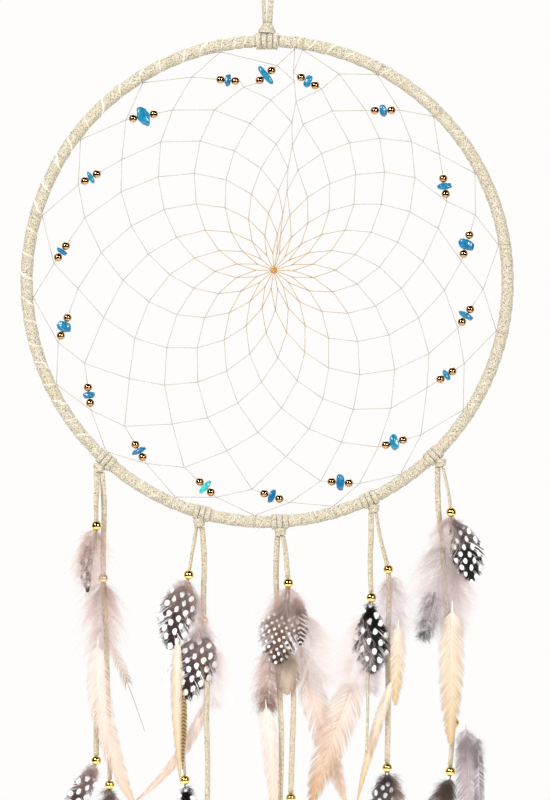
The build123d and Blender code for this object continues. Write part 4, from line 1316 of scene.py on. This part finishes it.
def build_stage() -> None:
    """Add the camera, lights, world and floor."""
    scene = bpy.context.scene
    camera = bpy.data.cameras.new("camera")
    camera.lens = 172.7
    camera.sensor_width = 36.0
    camera.clip_start = 0.05
    viewer = bpy.data.objects.new("camera", camera)
    viewer.location = (0.0037, -1.8, -0.2213)
    viewer.rotation_euler = (math.pi / 2, 0, 0)
    scene.collection.objects.link(viewer)
    scene.camera = viewer
    scene.view_settings.view_transform = "Standard"
    middle = (0, 0, -0.22)
    light("softbox_left", (-0.75, -1.0, 0.35), middle, 0.34, 15.0)
    light("softbox_right", (0.7, -1.1, 0.1), middle, 0.3, 10.5)
    light("rim_light", (0.0, 0.7, 0.5), middle, 0.5, 5.0)
    world = bpy.data.worlds.new("studio")
    world.use_nodes = True
    tree = world.node_tree
    tree.nodes.clear()
    sky = add_node(tree, "ShaderNodeTexCoord").outputs["Generated"]
    halved = add_node(tree, "ShaderNodeMapping",
                      {"Vector": sky, "Location": (0.5, 0.5, 0.5), "Scale": (0.5, 0.5, 0.5)})
    height = add_node(tree, "ShaderNodeSeparateXYZ", {"Vector": halved.outputs["Vector"]})
    shade = ramp(tree, height.outputs["Z"], [(0.0, srgb("#6A5E50")), (0.5, srgb("#D6D3CF")),
                                             (1.0, srgb("#FFFFFF"))])
    depth = ramp(tree, height.outputs["Y"], [(0.0, srgb("#0A0604")), (0.52, srgb("#1C130C")),
                                             (0.72, srgb("#D8C8B0")), (0.9, srgb("#FFFFFF"))])
    rays = add_node(tree, "ShaderNodeLightPath")
    room = mix_colour(tree, rays.outputs["Is Glossy Ray"], shade, depth)
    dim = add_node(tree, "ShaderNodeBackground", {"Color": room, "Strength": 1.3})
    white = add_node(tree, "ShaderNodeBackground", {"Color": srgb("#FEFDFC"), "Strength": 1.0})
    both = add_node(tree, "ShaderNodeMixShader",
                    {0: rays.outputs["Is Camera Ray"], 1: dim.outputs[0], 2: white.outputs[0]})
    add_node(tree, "ShaderNodeOutputWorld", {"Surface": both.outputs[0]})
    scene.world = world
    mesh = bmesh.new()
    bmesh.ops.create_circle(mesh, cap_ends=True, segments=64, radius=0.6)
    material, nodes, output = new_material("painted_floor")
    surface = add_node(nodes, "ShaderNodeBsdfPrincipled", {"Base Color": srgb("#EFEDEA"), "Roughness": 0.8})
    nodes.links.new(surface.outputs[0], output.inputs["Surface"])
    floor = mesh_object("floor", *taken(mesh), material, smooth=False)
    floor.location.z = -0.56


def main() -> None:
    """Build every piece, then the stage."""
    logging.basicConfig(level=logging.INFO, format="%(message)s")
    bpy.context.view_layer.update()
    build_stage()
    suede = SuedeFinish().build("suede_lace")
    # A slightly browner copy of the suede for the pendants' laces.
    browner_suede = SuedeFinish("#CBC1AF", "#A89C85", "#5A4F3C").build("worn_suede_lace")
    pale_gold = MetalFinish("#F6DC94", "#E4BE68", 0.07).build("polished_gold_plate")
    dark_gold = MetalFinish("#D2A878", "#9A7450", 0.06).build("antique_gold_plate")
    turquoise = StoneFinish().build("turquoise_stone")
    nylon = ThreadFinish().build("waxed_nylon_thread", tuple(c * MM for c in CENTRE_KNOT))
    plumage = {name: finish.build(f"feather_{name}") for name, finish in FINISHES.items()}

    steel = MetalFinish("#8C8C8C", "#7C7C7C", 0.35).build("steel_wire")
    ring = frame["nodes"]["hoop_ring"]
    ring.data.materials.clear()
    ring.data.materials.append(steel)
    settle(HoopWrap().build(suede), "hoop", "suede", "hoop_wrap")
    build_hanger(suede)

    web = Web()
    settle(web.build_thread(nylon), "hoop", "web_thread", "web_thread")
    settle(web.build_beads(dark_gold), "hoop", "metal_beads", "web_beads")
    settle(web.build_chips(turquoise), "hoop", "turquoise", "turquoise_chips")
    pivots = {joint["name"]: joint["pos_m"] for joint in frame["joints"]}
    for name in FEATHERS:
        pendant = Pendant(name, Vector(pivots[f"{name}_swing"]))
        pendant.build_lashing(suede)
        pendant.build_laces(browner_suede)
        pendant.build_beads(pale_gold)
        pendant.build_feathers(plumage)


if __name__ == "__main__":
    main()
